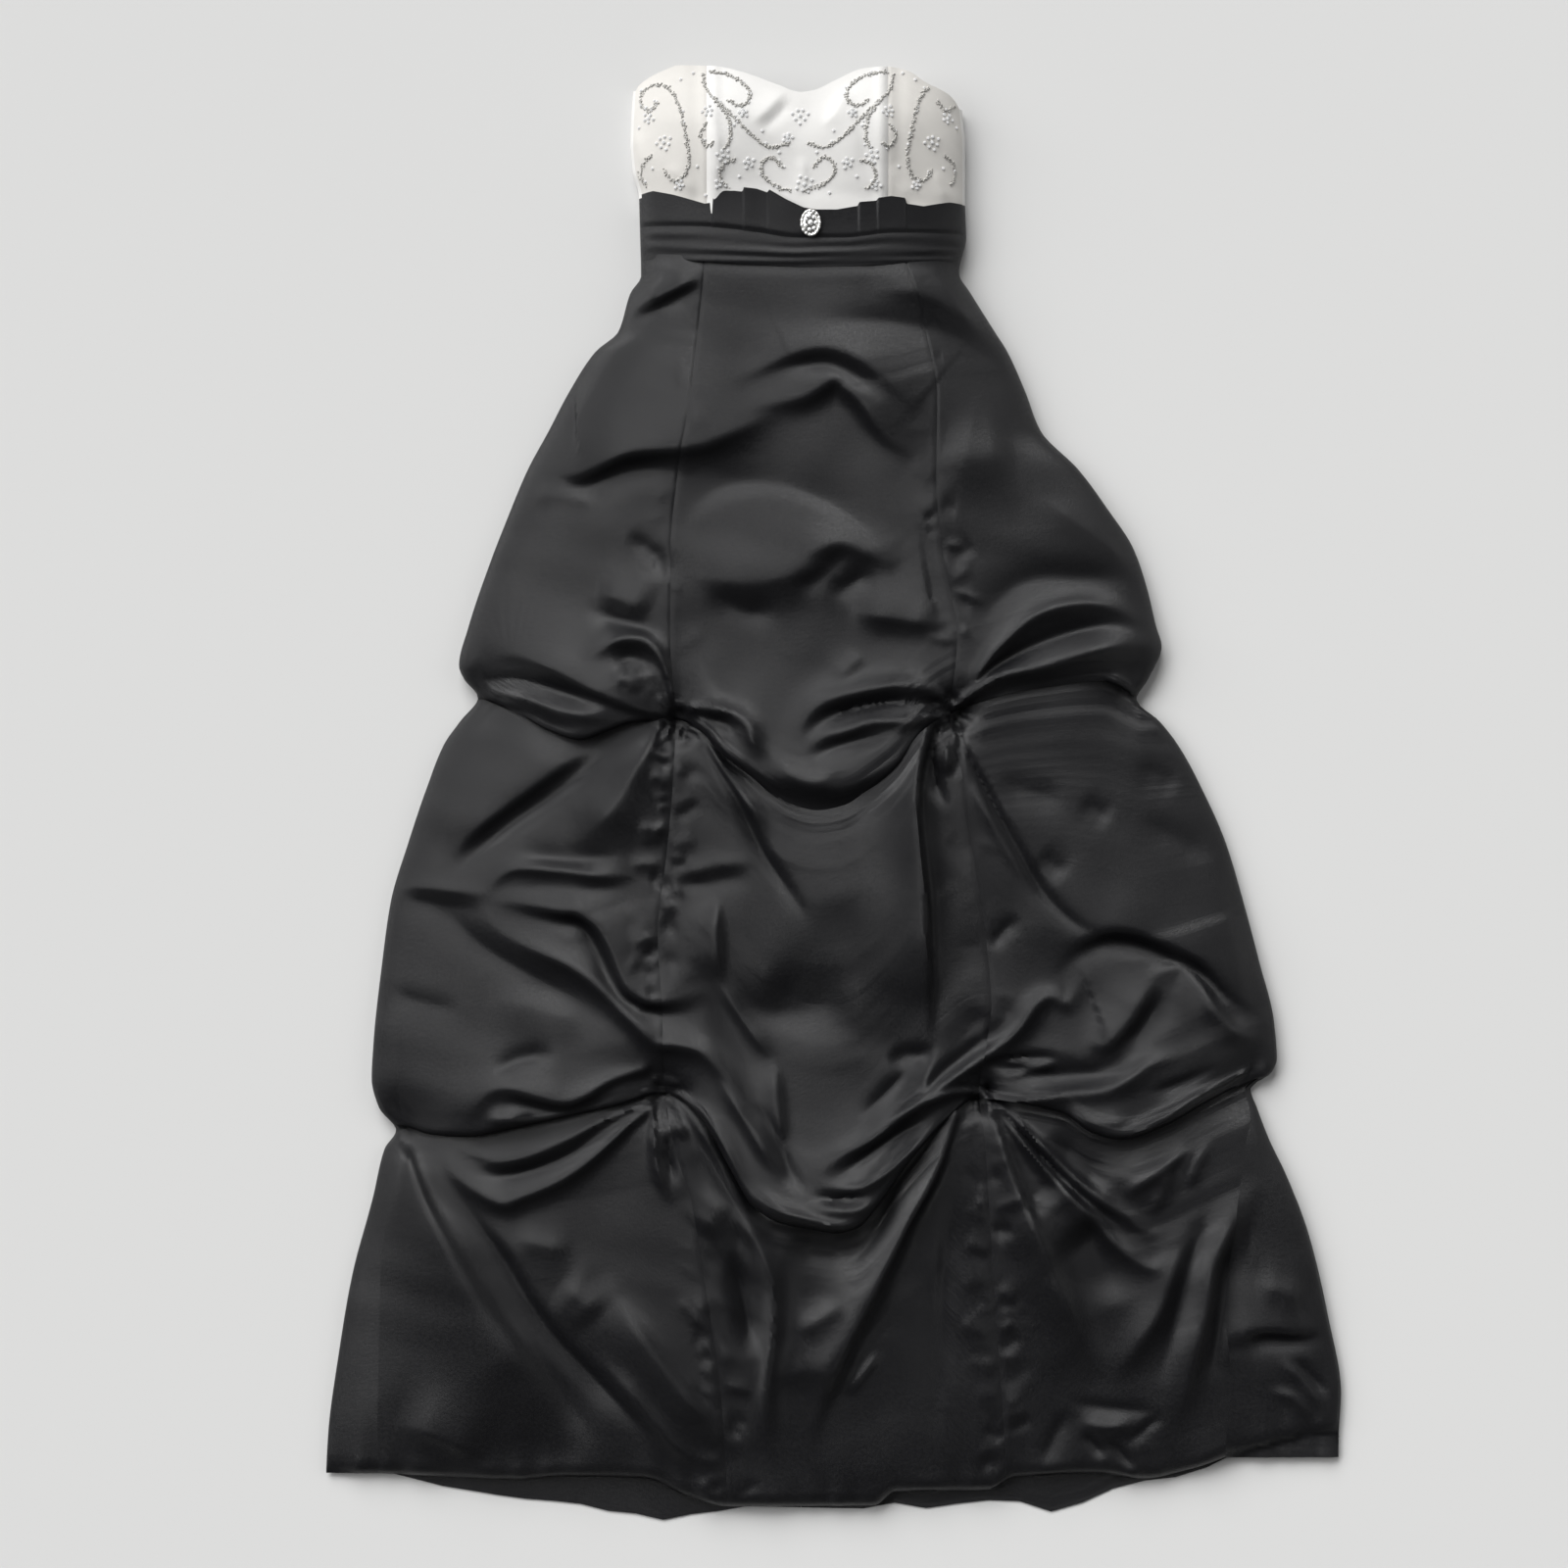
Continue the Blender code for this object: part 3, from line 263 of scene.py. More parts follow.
MIDDLE_FOLDS = (
    Fold(14, 26, 34, ((-160, 72), (-166, 66), (-188, 23), (-204, -6), (-226, -30), (-252, -52))),
    Fold(-6, 18, 8, ((-200, 58), (-232, 30), (-262, 5), (-311, -29), (-378, -84))),
    Fold(8, 50, 8, ((-224, 50), (-258, 30), (-300, 0), (-340, -30), (-372, -60))),
    Fold(7, 10, 6, ((-336, -96), (-322, -80), (-303, -70), (-256, -72), (-219, -77),
                    (-184, -75))),
    Fold(-2, 6, 10, ((-330, -88), (-280, -88), (-239, -90), (-180, -88))),
    Fold(-4, 12, 8, ((-300, -54), (-250, -60), (-200, -56))),
    Fold(3, 10, 8, ((-430, -90), (-394, -88), (-357, -92), (-320, -96))),
    Fold(-3, 8, 18, ((-420, -97), (-380, -104), (-330, -112))),
    Fold(10, 22, 7, ((-334, -98), (-295, -103), (-262, -109), (-243, -111), (-225, -124),
                     (-212, -146), (-200, -174), (-186, -190), (-166, -196), (-139, -192),
                     (-104, -178))),
    Fold(-7, 6, 9, ((-300, -114), (-262, -120), (-240, -126), (-226, -146), (-212, -176),
                    (-196, -196), (-166, -208), (-125, -204))),
    Fold(11, 14, 9, ((-334, -104), (-320, -128), (-295, -143), (-249, -164), (-219, -186),
                     (-194, -211), (-169, -235), (-151, -238), (-126, -244), (-102, -266),
                     (-80, -294), (-65, -321))),
    Fold(-6, 12, 18, ((-404, -104), (-371, -116), (-333, -146), (-290, -172), (-250, -196),
                      (-215, -224))),
    Fold(4, 20, 22, ((-330, -190), (-280, -206), (-230, -220))),
    Fold(-2, 10, 14, ((-432, -186), (-400, -197), (-350, -208))),
    Fold(-5, 10, 8, ((-326, -266), (-300, -252), (-262, -246))),
    Fold(8, 16, 7, ((-353, -312), (-338, -293), (-323, -281), (-305, -280), (-280, -287),
                    (-256, -293), (-237, -287), (-212, -272), (-180, -262))),
    Fold(-5, 5, 6, ((-322, -294), (-300, -294), (-270, -300), (-240, -298), (-205, -285))),
    Fold(5, 10, 6, ((-334, -308), (-310, -310), (-288, -303))),
    Fold(9, 7, 10, ((-130, 64), (-118, 46), (-104, 22), (-90, 2), (-74, -18), (-62, -44))),
    Fold(-8, 6, 9, ((-124, 56), (-110, 28), (-90, -4), (-69, -50), (-50, -80), (-34, -104),
                    (-22, -126))),
    Fold(5, 30, 46, ((-16, 0), (6, -60), (22, -140))),
    Fold(3, 9, 6, ((-160, -70), (-133, -72), (-108, -66), (-70, -64))),
    Fold(-3, 6, 9, ((-160, -82), (-130, -84), (-100, -80), (-78, -74))),
    Fold(8, 24, 4, ((-112, -96), (-111, -140), (-110, -180))),
    Fold(6, 10, 7, ((-110, -176), (-90, -207), (-68, -238), (-56, -256))),
    Fold(7, 16, 5, ((-58, -248), (-52, -298), (-50, -346))),
    Fold(-6, 22, 28, ((-120, -192), (-50, -208), (20, -204))),
    Fold(-7, 26, 30, ((-66, -175), (-20, -195), (24, -190))),
    Fold(19, 74, 5, ((100, 76), (91, 66), (85, 46), (80, 20), (79, -11), (82, -53), (86, -96),
                     (88, -141), (90, -186), (90, -242))),
    Fold(5, 24, 5, ((91, 66), (85, 46), (80, 20), (79, -11), (82, -53), (86, -96), (88, -141),
                    (90, -186), (90, -242))),
    Fold(-8, 6, 10, ((52, -248), (74, -248), (98, -247))),
    Fold(6, 7, 8, ((97, -244), (92, -266), (82, -288), (50, -314))),
    Fold(-6, 8, 8, ((78, -252), (60, -276), (26, -310))),
    Fold(-6, 5, 5, ((100, 66), (96, 40), (98, 16), (107, -6), (114, -12))),
    Fold(-5, 5, 5, ((122, 62), (120, 38), (116, 14))),
    Fold(5, 5, 5, ((108, 56), (109, 34), (113, 18))),
    Fold(-7, 6, 7, ((118, 66), (132, 34), (148, 4), (163, -26), (178, -53), (202, -93),
                    (233, -123), (266, -136))),
    Fold(4, 10, 6, ((128, 20), (150, -20), (176, -64), (196, -94))),
    Fold(-3, 14, 14, ((154, 14), (190, 4), (226, -6))),
    Fold(-3, 12, 12, ((196, -56), (210, -66), (224, -78))),
    Fold(-3, 12, 12, ((236, -6), (252, -14), (268, -24))),
    Fold(-3, 14, 14, ((292, -22), (330, -42), (368, -64))),
    Fold(-3, 14, 16, ((290, 26), (312, 20), (336, 8))),
    Fold(-4, 6, 6, ((150, -148), (162, -132), (178, -114))),
    Fold(9, 50, 8, ((214, -166), (236, -140), (263, -127), (293, -129), (323, -141),
                    (356, -158), (386, -188), (414, -204))),
    Fold(-9, 7, 12, ((210, -180), (233, -153), (263, -141), (293, -144), (323, -156),
                     (353, -171), (383, -200), (408, -216))),
    Fold(10, 34, 10, ((236, -232), (262, -236), (284, -214), (300, -186), (311, -171))),
    Fold(7, 8, 10, ((300, -186), (311, -171), (326, -165), (338, -167), (353, -183),
                    (365, -204), (383, -225), (404, -231), (420, -212))),
    Fold(-6, 8, 14, ((318, -184), (306, -206), (292, -226), (268, -246))),
    Fold(10, 9, 8, ((44, -318), (82, -291), (124, -264), (154, -243), (178, -222),
                    (194, -200), (208, -192), (224, -198), (239, -178), (252, -171))),
    Fold(-8, 9, 9, ((186, -202), (160, -225), (118, -256), (94, -276), (60, -304))),
    Fold(-4, 20, 14, ((150, -205), (125, -230), (105, -250))),
    Fold(-9, 13, 14, ((152, -256), (200, -266), (250, -266), (296, -256))),
    Fold(5, 5, 5, ((170, -268), (192, -262), (216, -254))),
    Fold(-5, 4, 4, ((152, -254), (180, -250), (220, -251))),
    Fold(8, 10, 10, ((148, -291), (184, -292), (218, -286), (257, -281), (281, -272),
                     (304, -256), (340, -246))),
    Fold(5, 14, 8, ((222, -300), (256, -312), (292, -306))),
    Fold(6, 8, 6, ((219, -302), (242, -316), (263, -324), (293, -320), (323, -304),
                   (353, -286), (398, -264))),
    Fold(-4, 5, 6, ((300, -286), (330, -276), (372, -258))),
    Fold(8, 8, 8, ((-17, -364), (6, -344), (37, -327), (74, -300), (114, -284), (140, -284))),
    Fold(-6, 6, 6, ((-4, -366), (24, -350), (56, -328), (96, -304))),
    Fold(7, 6, 7, ((-17, -365), (0, -373), (27, -373), (54, -357), (77, -337), (110, -311))),
    Fold(6, 6, 6, ((-27, -388), (-7, -394), (23, -395), (44, -384))),
    Fold(-4, 4, 4, ((-20, -380), (4, -384), (36, -382))),
    Fold(8, 9, 8, ((-112, -264), (-103, -279), (-80, -314), (-54, -357), (-46, -370))),
    Fold(-6, 7, 7, ((-72, -290), (-54, -325), (-40, -360), (-20, -384))),
    Fold(7, 7, 7, ((-72, -372), (-51, -393), (-28, -402), (10, -410), (36, -404))),
    Fold(6, 7, 7, ((-150, -288), (-128, -298), (-104, -330), (-84, -372))),
)  # fmt: skip
LOWER_FOLDS = (
    Fold(7, 9, 8, ((-373, -331), (-360, -337), (-337, -345), (-318, -349), (-292, -344),
                   (-253, -328), (-220, -311), (-176, -294))),
    Fold(10, 16, 9, ((-378, -335), (-363, -360), (-344, -376), (-318, -389), (-298, -384),
                     (-259, -367), (-227, -344), (-194, -314), (-172, -297))),
    Fold(-6, 6, 7, ((-350, -358), (-318, -364), (-290, -360), (-250, -344), (-205, -316))),
    Fold(19, 22, 64, ((-408, -350), (-389, -396), (-360, -448), (-331, -497), (-305, -533),
                      (-279, -575), (-252, -628))),
    Fold(-7, 14, 16, ((-376, -402), (-331, -467), (-292, -526), (-253, -585), (-213, -637))),
    Fold(-8, 7, 10, ((-368, -362), (-347, -402), (-318, -441), (-292, -484), (-266, -520),
                     (-223, -565), (-187, -601), (-158, -637))),
    Fold(15, 14, 34, ((-222, -456), (-196, -500), (-156, -556), (-112, -610), (-90, -636))),
    Fold(6, 18, 22, ((-262, -468), (-240, -482), (-222, -500))),
    Fold(6, 12, 9, ((-228, -532), (-183, -587), (-147, -627), (-106, -646))),
    Fold(3, 12, 12, ((-306, -424), (-270, -432), (-250, -440))),
    Fold(6, 5, 5, ((-172, -300), (-171, -314), (-168, -353), (-158, -381), (-148, -376))),
    Fold(-6, 4, 5, ((-157, -318), (-156, -345), (-153, -374))),
    Fold(6, 5, 5, ((-150, -300), (-148, -314), (-140, -328))),
    Fold(9, 12, 10, ((-142, -296), (-116, -334), (-100, -363), (-80, -402), (-67, -428))),
    Fold(-8, 9, 14, ((-112, -318), (-92, -350), (-76, -384), (-60, -412))),
    Fold(6, 18, 12, ((-128, -420), (-112, -400), (-100, -384))),
    Fold(12, 11, 8, ((-112, -436), (-100, -419), (-87, -412), (-74, -425), (-64, -448),
                    (-57, -474), (-57, -507), (-61, -549), (-64, -581), (-62, -614),
                    (-54, -650))),
    Fold(-11, 9, 11, ((-97, -432), (-90, -460), (-82, -496), (-74, -540))),
    Fold(-8, 26, 26, ((-46, -428), (-10, -440), (30, -430))),
    Fold(7, 40, 16, ((-60, -560), (-20, -548), (20, -560))),
    Fold(8, 46, 14, ((-420, -600), (-380, -612), (-330, -636))),
    Fold(9, 18, 40, ((206, -372), (226, -396), (250, -420))),
    Fold(5, 14, 10, ((-38, -516), (-10, -500), (12, -482))),
    Fold(15, 26, 9, ((118, -304), (98, -361), (70, -411), (50, -452), (30, -492), (6, -540),
                     (-14, -590), (-28, -640))),
    Fold(4, 6, 5, ((48, -530), (32, -552), (14, -576))),
    Fold(-6, 12, 10, ((66, -372), (40, -420), (10, -456))),
    Fold(-5, 12, 16, ((124, -350), (110, -430), (100, -520), (96, -640))),
    Fold(3, 8, 8, ((100, -400), (98, -520), (92, -600))),
    Fold(15, 12, 26, ((150, -300), (160, -330), (175, -374), (195, -421), (216, -472),
                      (238, -522), (262, -560))),
    Fold(9, 16, 12, ((262, -562), (276, -550), (297, -519), (313, -492), (327, -452),
                     (346, -412))),
    Fold(-8, 26, 28, ((228, -400), (256, -440), (276, -488))),
    Fold(8, 7, 7, ((152, -294), (172, -307), (202, -337), (229, -364), (259, -388),
                   (283, -404), (303, -420), (320, -416))),
    Fold(9, 8, 8, ((152, -300), (162, -307), (189, -340), (222, -377), (253, -408),
                   (276, -435), (303, -452), (315, -447), (319, -428))),
    Fold(-6, 5, 6, ((168, -306), (196, -340), (226, -372), (256, -398), (284, -418))),
    Fold(-8, 14, 14, ((206, -324), (236, -350), (268, -378))),
    Fold(8, 12, 8, ((344, -336), (310, -361), (274, -386))),
    Fold(5, 16, 10, ((324, -352), (316, -376), (304, -404))),
    Fold(4, 6, 6, ((366, -330), (350, -352), (340, -380))),
    Fold(15, 20, 10, ((410, -366), (384, -408), (364, -452), (357, -492), (347, -533),
                      (337, -577), (324, -606))),
    Fold(-7, 10, 10, ((372, -384), (352, -424), (338, -470), (326, -520), (314, -568))),
    Fold(-7, 9, 11, ((404, -396), (388, -430), (376, -470), (370, -520), (360, -566))),
    Fold(5, 22, 16, ((404, -470), (430, -474), (456, -486))),
    Fold(6, 26, 7, ((378, -553), (388, -529), (401, -513), (428, -511), (452, -515),
                    (474, -503))),
    Fold(-6, 6, 9, ((392, -540), (410, -524), (440, -524), (474, -518))),
    Fold(4, 6, 6, ((430, -540), (450, -560), (470, -592))),
    Fold(-4, 5, 5, ((440, -538), (458, -556), (480, -580))),
    Fold(4, 5, 5, ((420, -570), (444, -580), (462, -602))),
    Fold(-3, 6, 10, ((200, -648), (212, -618), (229, -585))),
    Fold(-3, 6, 7, ((226, -582), (270, -588), (316, -591))),
    Fold(-3, 5, 6, ((318, -592), (300, -608), (280, -624))),
    Fold(-4, 5, 5, ((240, -610), (250, -622), (262, -636))),
    Fold(-4, 5, 5, ((263, -614), (276, -630), (294, -650))),
    Fold(5, 9, 8, ((236, -600), (262, -606), (292, -602))),
)  # fmt: skip

BODICE_FOLDS = (
    Fold(2.2, 10, 5, ((-80, 638), (-62, 654), (-44, 674))),
    Fold(-1.6, 5, 6, ((-70, 632), (-54, 646), (-38, 664))),
    Fold(2.0, 5, 9, ((-10, 634), (4, 652), (16, 676))),
    Fold(2.2, 8, 4, ((-190, 640), (-185, 620), (-178, 596))),
    Fold(1.6, 10, 6, ((-160, 604), (-142, 588), (-128, 572))),
    Fold(1.6, 9, 6, ((56, 604), (64, 584), (72, 564))),
    Fold(-2.0, 8, 9, ((18, 672), (28, 632), (34, 584))),
    Fold(1.8, 6, 5, ((-112, 640), (-108, 610), (-112, 578))),
    Fold(1.5, 7, 5, ((-30, 612), (-28, 590), (-34, 570))),
    Fold(1.5, 6, 6, ((96, 600), (104, 580), (112, 566))),
)  # fmt: skip

# How strongly the cloth puckers along the left and right front seams
Pucker = namedtuple("Pucker", "y left right")
PUCKERS = (
    Pucker(-690, 1.0, 1.4), Pucker(-560, 1.5, 1.6), Pucker(-440, 0.9, 1.6),
    Pucker(-330, 0.8, 1.0), Pucker(-230, 0.5, 0.6), Pucker(-190, 1.6, 0.6),
    Pucker(-60, 1.9, 0.5), Pucker(60, 1.6, 0.5), Pucker(120, 0.4, 0.7), Pucker(230, 0.4, 1.3),
    Pucker(330, 0.4, 0.5), Pucker(510, 0.2, 0.3),
)  # fmt: skip

Tuck = namedtuple("Tuck", "low high rise")
BAND_TUCKS = (
    Tuck(-114.5, -85, 2.2), Tuck(-85, -61.5, 3.4), Tuck(-61.5, -27, 2.6),
    Tuck(25, 43, 2.4), Tuck(43, 70.5, 3.2),
)  # fmt: skip

# Beaded scrolls of half the bodice. out is the distance from its middle.
BODICE_MIDDLE = -33.0
Stitch = namedtuple("Stitch", "out y")
SCROLLS = (
    (Stitch(134, 664), Stitch(142, 655), Stitch(151, 664), Stitch(147, 676), Stitch(133, 680),
     Stitch(120, 672), Stitch(112, 652), Stitch(107, 628), Stitch(104, 607), Stitch(109, 592),
     Stitch(120, 588), Stitch(128, 598)),
    (Stitch(91, 689), Stitch(87, 673), Stitch(76, 660), Stitch(67, 646), Stitch(64, 630),
     Stitch(69, 616)),
    (Stitch(78, 662), Stitch(60, 645), Stitch(44, 629), Stitch(27, 618), Stitch(9, 622)),
    (Stitch(85, 691), Stitch(64, 687), Stitch(49, 676), Stitch(47, 663), Stitch(57, 657),
     Stitch(68, 664)),
    (Stitch(15, 599), Stitch(24, 608), Stitch(34, 603), Stitch(33, 591), Stitch(22, 582),
     Stitch(6, 577)),
    (Stitch(87, 640), Stitch(93, 630), Stitch(88, 619), Stitch(79, 622)),
    (Stitch(140, 612), Stitch(148, 606), Stitch(151, 594), Stitch(145, 584)),
    (Stitch(60, 606), Stitch(71, 601), Stitch(74, 588), Stitch(66, 579)),
)  # fmt: skip
Flower = namedtuple("Flower", "out y petals reach")
FLOWERS = (
    Flower(128, 624, 7, 6.2), Flower(86, 652, 6, 4.6), Flower(71, 609, 6, 5.4),
    Flower(47, 603, 5, 4.6), Flower(74, 582, 5, 4.4), Flower(143, 648, 5, 4.4),
    Flower(113, 583, 5, 3.8), Flower(52, 650, 5, 3.6),
)  # fmt: skip
MIDDLE_FLOWERS = (Flower(2, 648, 7, 6.6), Flower(6, 583, 8, 7.0), Flower(-10, 627, 5, 4.0))
LOOSE_STONES = (
    Stitch(100, 690), Stitch(70, 690), Stitch(45, 669), Stitch(61, 638), Stitch(34, 633),
    Stitch(96, 600), Stitch(150, 676), Stitch(139, 600), Stitch(18, 613), Stitch(88, 573),
    Stitch(56, 590), Stitch(30, 575), Stitch(152, 640), Stitch(112, 684),
)  # fmt: skip

BROOCH = dict(x=-21, y=546, wide=20, tall=26.5)

# Columns for the flat cut of a sheet, in metres and square metres
Cut = namedtuple("Cut", "width length area")


class GownCloth(bpy.types.PropertyGroup):
    """Sizes and colours of the cloth."""

    step: FloatProperty(
        name="Grid step", description="Spacing of the cloth's points", default=0.003,
        subtype="DISTANCE", min=0.001,
    )  # fmt: skip
    thickness: FloatProperty(
        name="Thickness", description="Thickness of the satin and its lining", default=0.0009,
        subtype="DISTANCE", min=0.0002,
    )  # fmt: skip
    overhang: FloatProperty(
        name="Puff overhang", description="How far a puff's edge hangs over the cloth below it",
        default=0.007, subtype="DISTANCE", min=0.0,
    )  # fmt: skip
    black: FloatVectorProperty(
        name="Black satin", description="Colour of the skirt, band and sash",
        default=(0.0038, 0.0038, 0.0048), subtype="COLOR", min=0.0, max=1.0,
    )  # fmt: skip
    white: FloatVectorProperty(
        name="White satin", description="Colour of the bodice", default=(0.70, 0.692, 0.675),
        subtype="COLOR", min=0.0, max=1.0,
    )  # fmt: skip


class GownBeads(bpy.types.PropertyGroup):
    """Sizes and colours of the beadwork."""

    bead: FloatProperty(
        name="Bead", description="Radius of a bead in the scrolls", default=0.00115,
        subtype="DISTANCE", min=0.0003,
    )  # fmt: skip
    stone: FloatProperty(
        name="Stone", description="Radius of a sewn-on stone", default=0.0019,
        subtype="DISTANCE", min=0.0005,
    )  # fmt: skip
    thread: FloatVectorProperty(
        name="Bead colour", description="Colour of the silver-lined beads",
        default=(0.50, 0.49, 0.465), subtype="COLOR", min=0.0, max=1.0,
    )  # fmt: skip


class GownStage(bpy.types.PropertyGroup):
    """The floor, the lights and the camera."""

    floor: FloatVectorProperty(
        name="Floor", description="Colour of the pale floor", default=(0.62, 0.62, 0.615),
        subtype="COLOR", min=0.0, max=1.0,
    )  # fmt: skip
    height: FloatProperty(
        name="Camera height", description="How far the camera is above the floor", default=4.2,
        subtype="DISTANCE",
    )  # fmt: skip
    lens: FloatProperty(name="Lens", description="Focal length in millimetres", default=100.0)
    key: FloatProperty(
        name="Key light", description="Power of the soft light at the neck side", default=3.5,
    )  # fmt: skip
    fill: FloatProperty(
        name="Fill light", description="Power of the soft light at the left", default=2.0,
    )  # fmt: skip
    sky: FloatProperty(name="Sky", description="Strength of the even light", default=0.12)


# Plain curves


def columns(rows):
    return [np.array(column, float) for column in zip(*rows)]


def through(at, knots, values):
    """Values on a smooth curve through the knots, with no overshoot between them."""
    step = np.diff(knots)
    slope = np.diff(values) / step
    before, after = slope[:-1], slope[1:]
    same = before * after > 0
    tangent = np.concatenate([slope[:1], np.zeros(len(before)), slope[-1:]])
    tangent[1:-1][same] = 2 * before[same] * after[same] / (before + after)[same]
    at = np.clip(at, knots[0], knots[-1])
    i = np.clip(np.searchsorted(knots, at, side="right") - 1, 0, len(step) - 1)
    t = (at - knots[i]) / step[i]
    rise = values[i + 1] - values[i]
    start = t * (1 - t) ** 2 * step[i] * tangent[i]
    end = t * t * (t - 1) * step[i] * tangent[i + 1]
    return values[i] + rise * t * t * (3 - 2 * t) + start + end


def ease(low, high, at):
    t = np.clip((at - low) / (high - low), 0, 1)
    return t * t * (3 - 2 * t)


def smooth_path(points, pieces=7):
    """A smooth curve through a path's points."""
    p = np.array(points, float)
    p = np.vstack([2 * p[0] - p[1], p, 2 * p[-1] - p[-2]])
    out = []
    for a, b, c, d in zip(p, p[1:], p[2:], p[3:]):
        for t in np.arange(pieces) / pieces:
            out.append(
                0.5 * (2 * b + (c - a) * t + (2 * a - 5 * b + 4 * c - d) * t**2
                       + (3 * b - a - 3 * c + d) * t**3)
            )  # fmt: skip
    out.append(p[-2])
    return np.array(out)


# The gown's form


def sides(y):
    return through(y, *columns(LEFT_EDGE)), through(y, *columns(RIGHT_EDGE))


def across(u, y):
    """x at u, where 0 and 4 are the side seams, 1 and 3 the front seams and 2 the middle."""
    left, right = sides(y)
    seam_y, inset_left, inset_right = columns(SIDE_SEAM)
    front_y, front_left, front_right = columns(FRONT_SEAMS)
    a = through(y, front_y, front_left)
    b = through(y, front_y, front_right)
    start = left + through(y, seam_y, inset_left)
    end = right - through(y, seam_y, inset_right)
    marks = np.stack([start, a, (a + b) / 2, b, end])
    u = np.broadcast_to(u, y.shape)
    quarter = np.minimum(u.astype(int), 3)
    before = np.take_along_axis(marks, quarter[None], axis=0)[0]
    after = np.take_along_axis(marks, quarter[None] + 1, axis=0)[0]
    return before + (after - before) * (u - quarter)


def line_y(rows, x):
    knots, values = columns([row[:2] for row in rows])
    if rows is BAND_TOP:
        return np.interp(x, knots, values)
    return through(x, knots, values)


def crown(x, y):
    left, right = sides(y)
    share = np.clip(np.abs(2 * x - left - right) / (right - left), 0, 1)
    top = through(y, *columns(CROWNS))
    return RIM + (top - RIM) * np.sqrt(1 - share**ROUNDING)


def near_pick_up(point):
    """True where a fold starts or ends in a pick-up's gathers."""
    return any(math.hypot(point[0] - p.x, point[1] - p.y) < 34 for p in PICK_UPS)


def fold_height(fold, x, y, gathers=True):
    """A fold's height. It is gone at a free end, and narrow where it is gathered in."""
    height = np.zeros(x.shape)
    path = smooth_path(fold.path)
    reach = 2.6 * max(fold.up, fold.down)
    low, high = path.min(axis=0) - reach, path.max(axis=0) + reach
    near = (x > low[0]) & (x < high[0]) & (y > low[1]) & (y < high[1])
    if not near.any():
        return height
    px, py = x[near], y[near]
    run = np.diff(path, axis=0)
    lengths = np.hypot(*run.T)
    starts = np.concatenate([[0], np.cumsum(lengths)])
    facing = path[-1] - path[0]
    upright = abs(facing[0]) <= 0.2 * abs(facing[1])
    flip = math.copysign(1, facing[1] if upright else facing[0])
    nearest = np.full(px.shape, np.inf)
    share = np.zeros(px.shape)
    beside = np.zeros(px.shape)
    for i, (dx, dy) in enumerate(run):
        qx, qy = px - path[i, 0], py - path[i, 1]
        t = np.clip((qx * dx + qy * dy) / lengths[i] ** 2, 0, 1)
        gap = np.hypot(qx - t * dx, qy - t * dy)
        closer = gap < nearest
        nearest = np.where(closer, gap, nearest)
        share = np.where(closer, (starts[i] + t * lengths[i]) / starts[-1], share)
        beside = np.where(closer, dx * qy - dy * qx, beside)
    # The flanks' widths meet smoothly along the crest.
    lean = 0.5 + 0.5 * np.tanh(beside * flip / lengths.mean() / 4)
    width = fold.down + (fold.up - fold.down) * lean
    amount = np.full(px.shape, float(fold.rise))
    for point, along in ((fold.path[0], share), (fold.path[-1], 1 - share)):
        if gathers and near_pick_up(point):
            width = width * (0.38 + 0.62 * ease(0, 0.6, along))
            amount = amount * (0.55 + 0.45 * ease(0, 0.35, along))
        else:
            amount = amount * ease(-0.02, 0.36, along)
    sharpness = 1.5 if fold.rise > 0 else 1.6
    height[near] = amount * np.exp(-((nearest / width) ** sharpness))
    return height


def puff_height(rows, x, y):
    """How far a row of puffs stands out above its edge. Where it is gathered the edge is
    round and steep, and in the middle of a wide swag it is soft."""
    knots, edge_y, drop, roll = columns(rows)
    above = y - through(x, knots, edge_y)
    reach = through(x, knots, roll)
    share = np.clip(above / reach, 0, 1)
    softness = np.clip((reach - CRISP_ROLL) / CRISP_ROLL, 0, 1)
    crisp = 0.45 + 0.55 * np.sqrt(1 - (1 - share) ** 2)
    swell = crisp + softness * (share * share * (3 - 2 * share) - crisp)
    return through(x, knots, drop) * swell * (1 - ease(CRISP_ROLL, PUFF_REACH, above))


def ripple(x, y):
    """Slow unevenness of laid cloth."""
    slow = np.sin(x / 41 + 1.3 * np.sin(y / 67)) * np.sin(y / 53 + np.sin(x / 71))
    quick = np.sin(x / 17 + y / 29 + 2 * np.sin(y / 37)) * np.sin(y / 19 - x / 43)
    return 1.62 * slow + 0.504 * quick


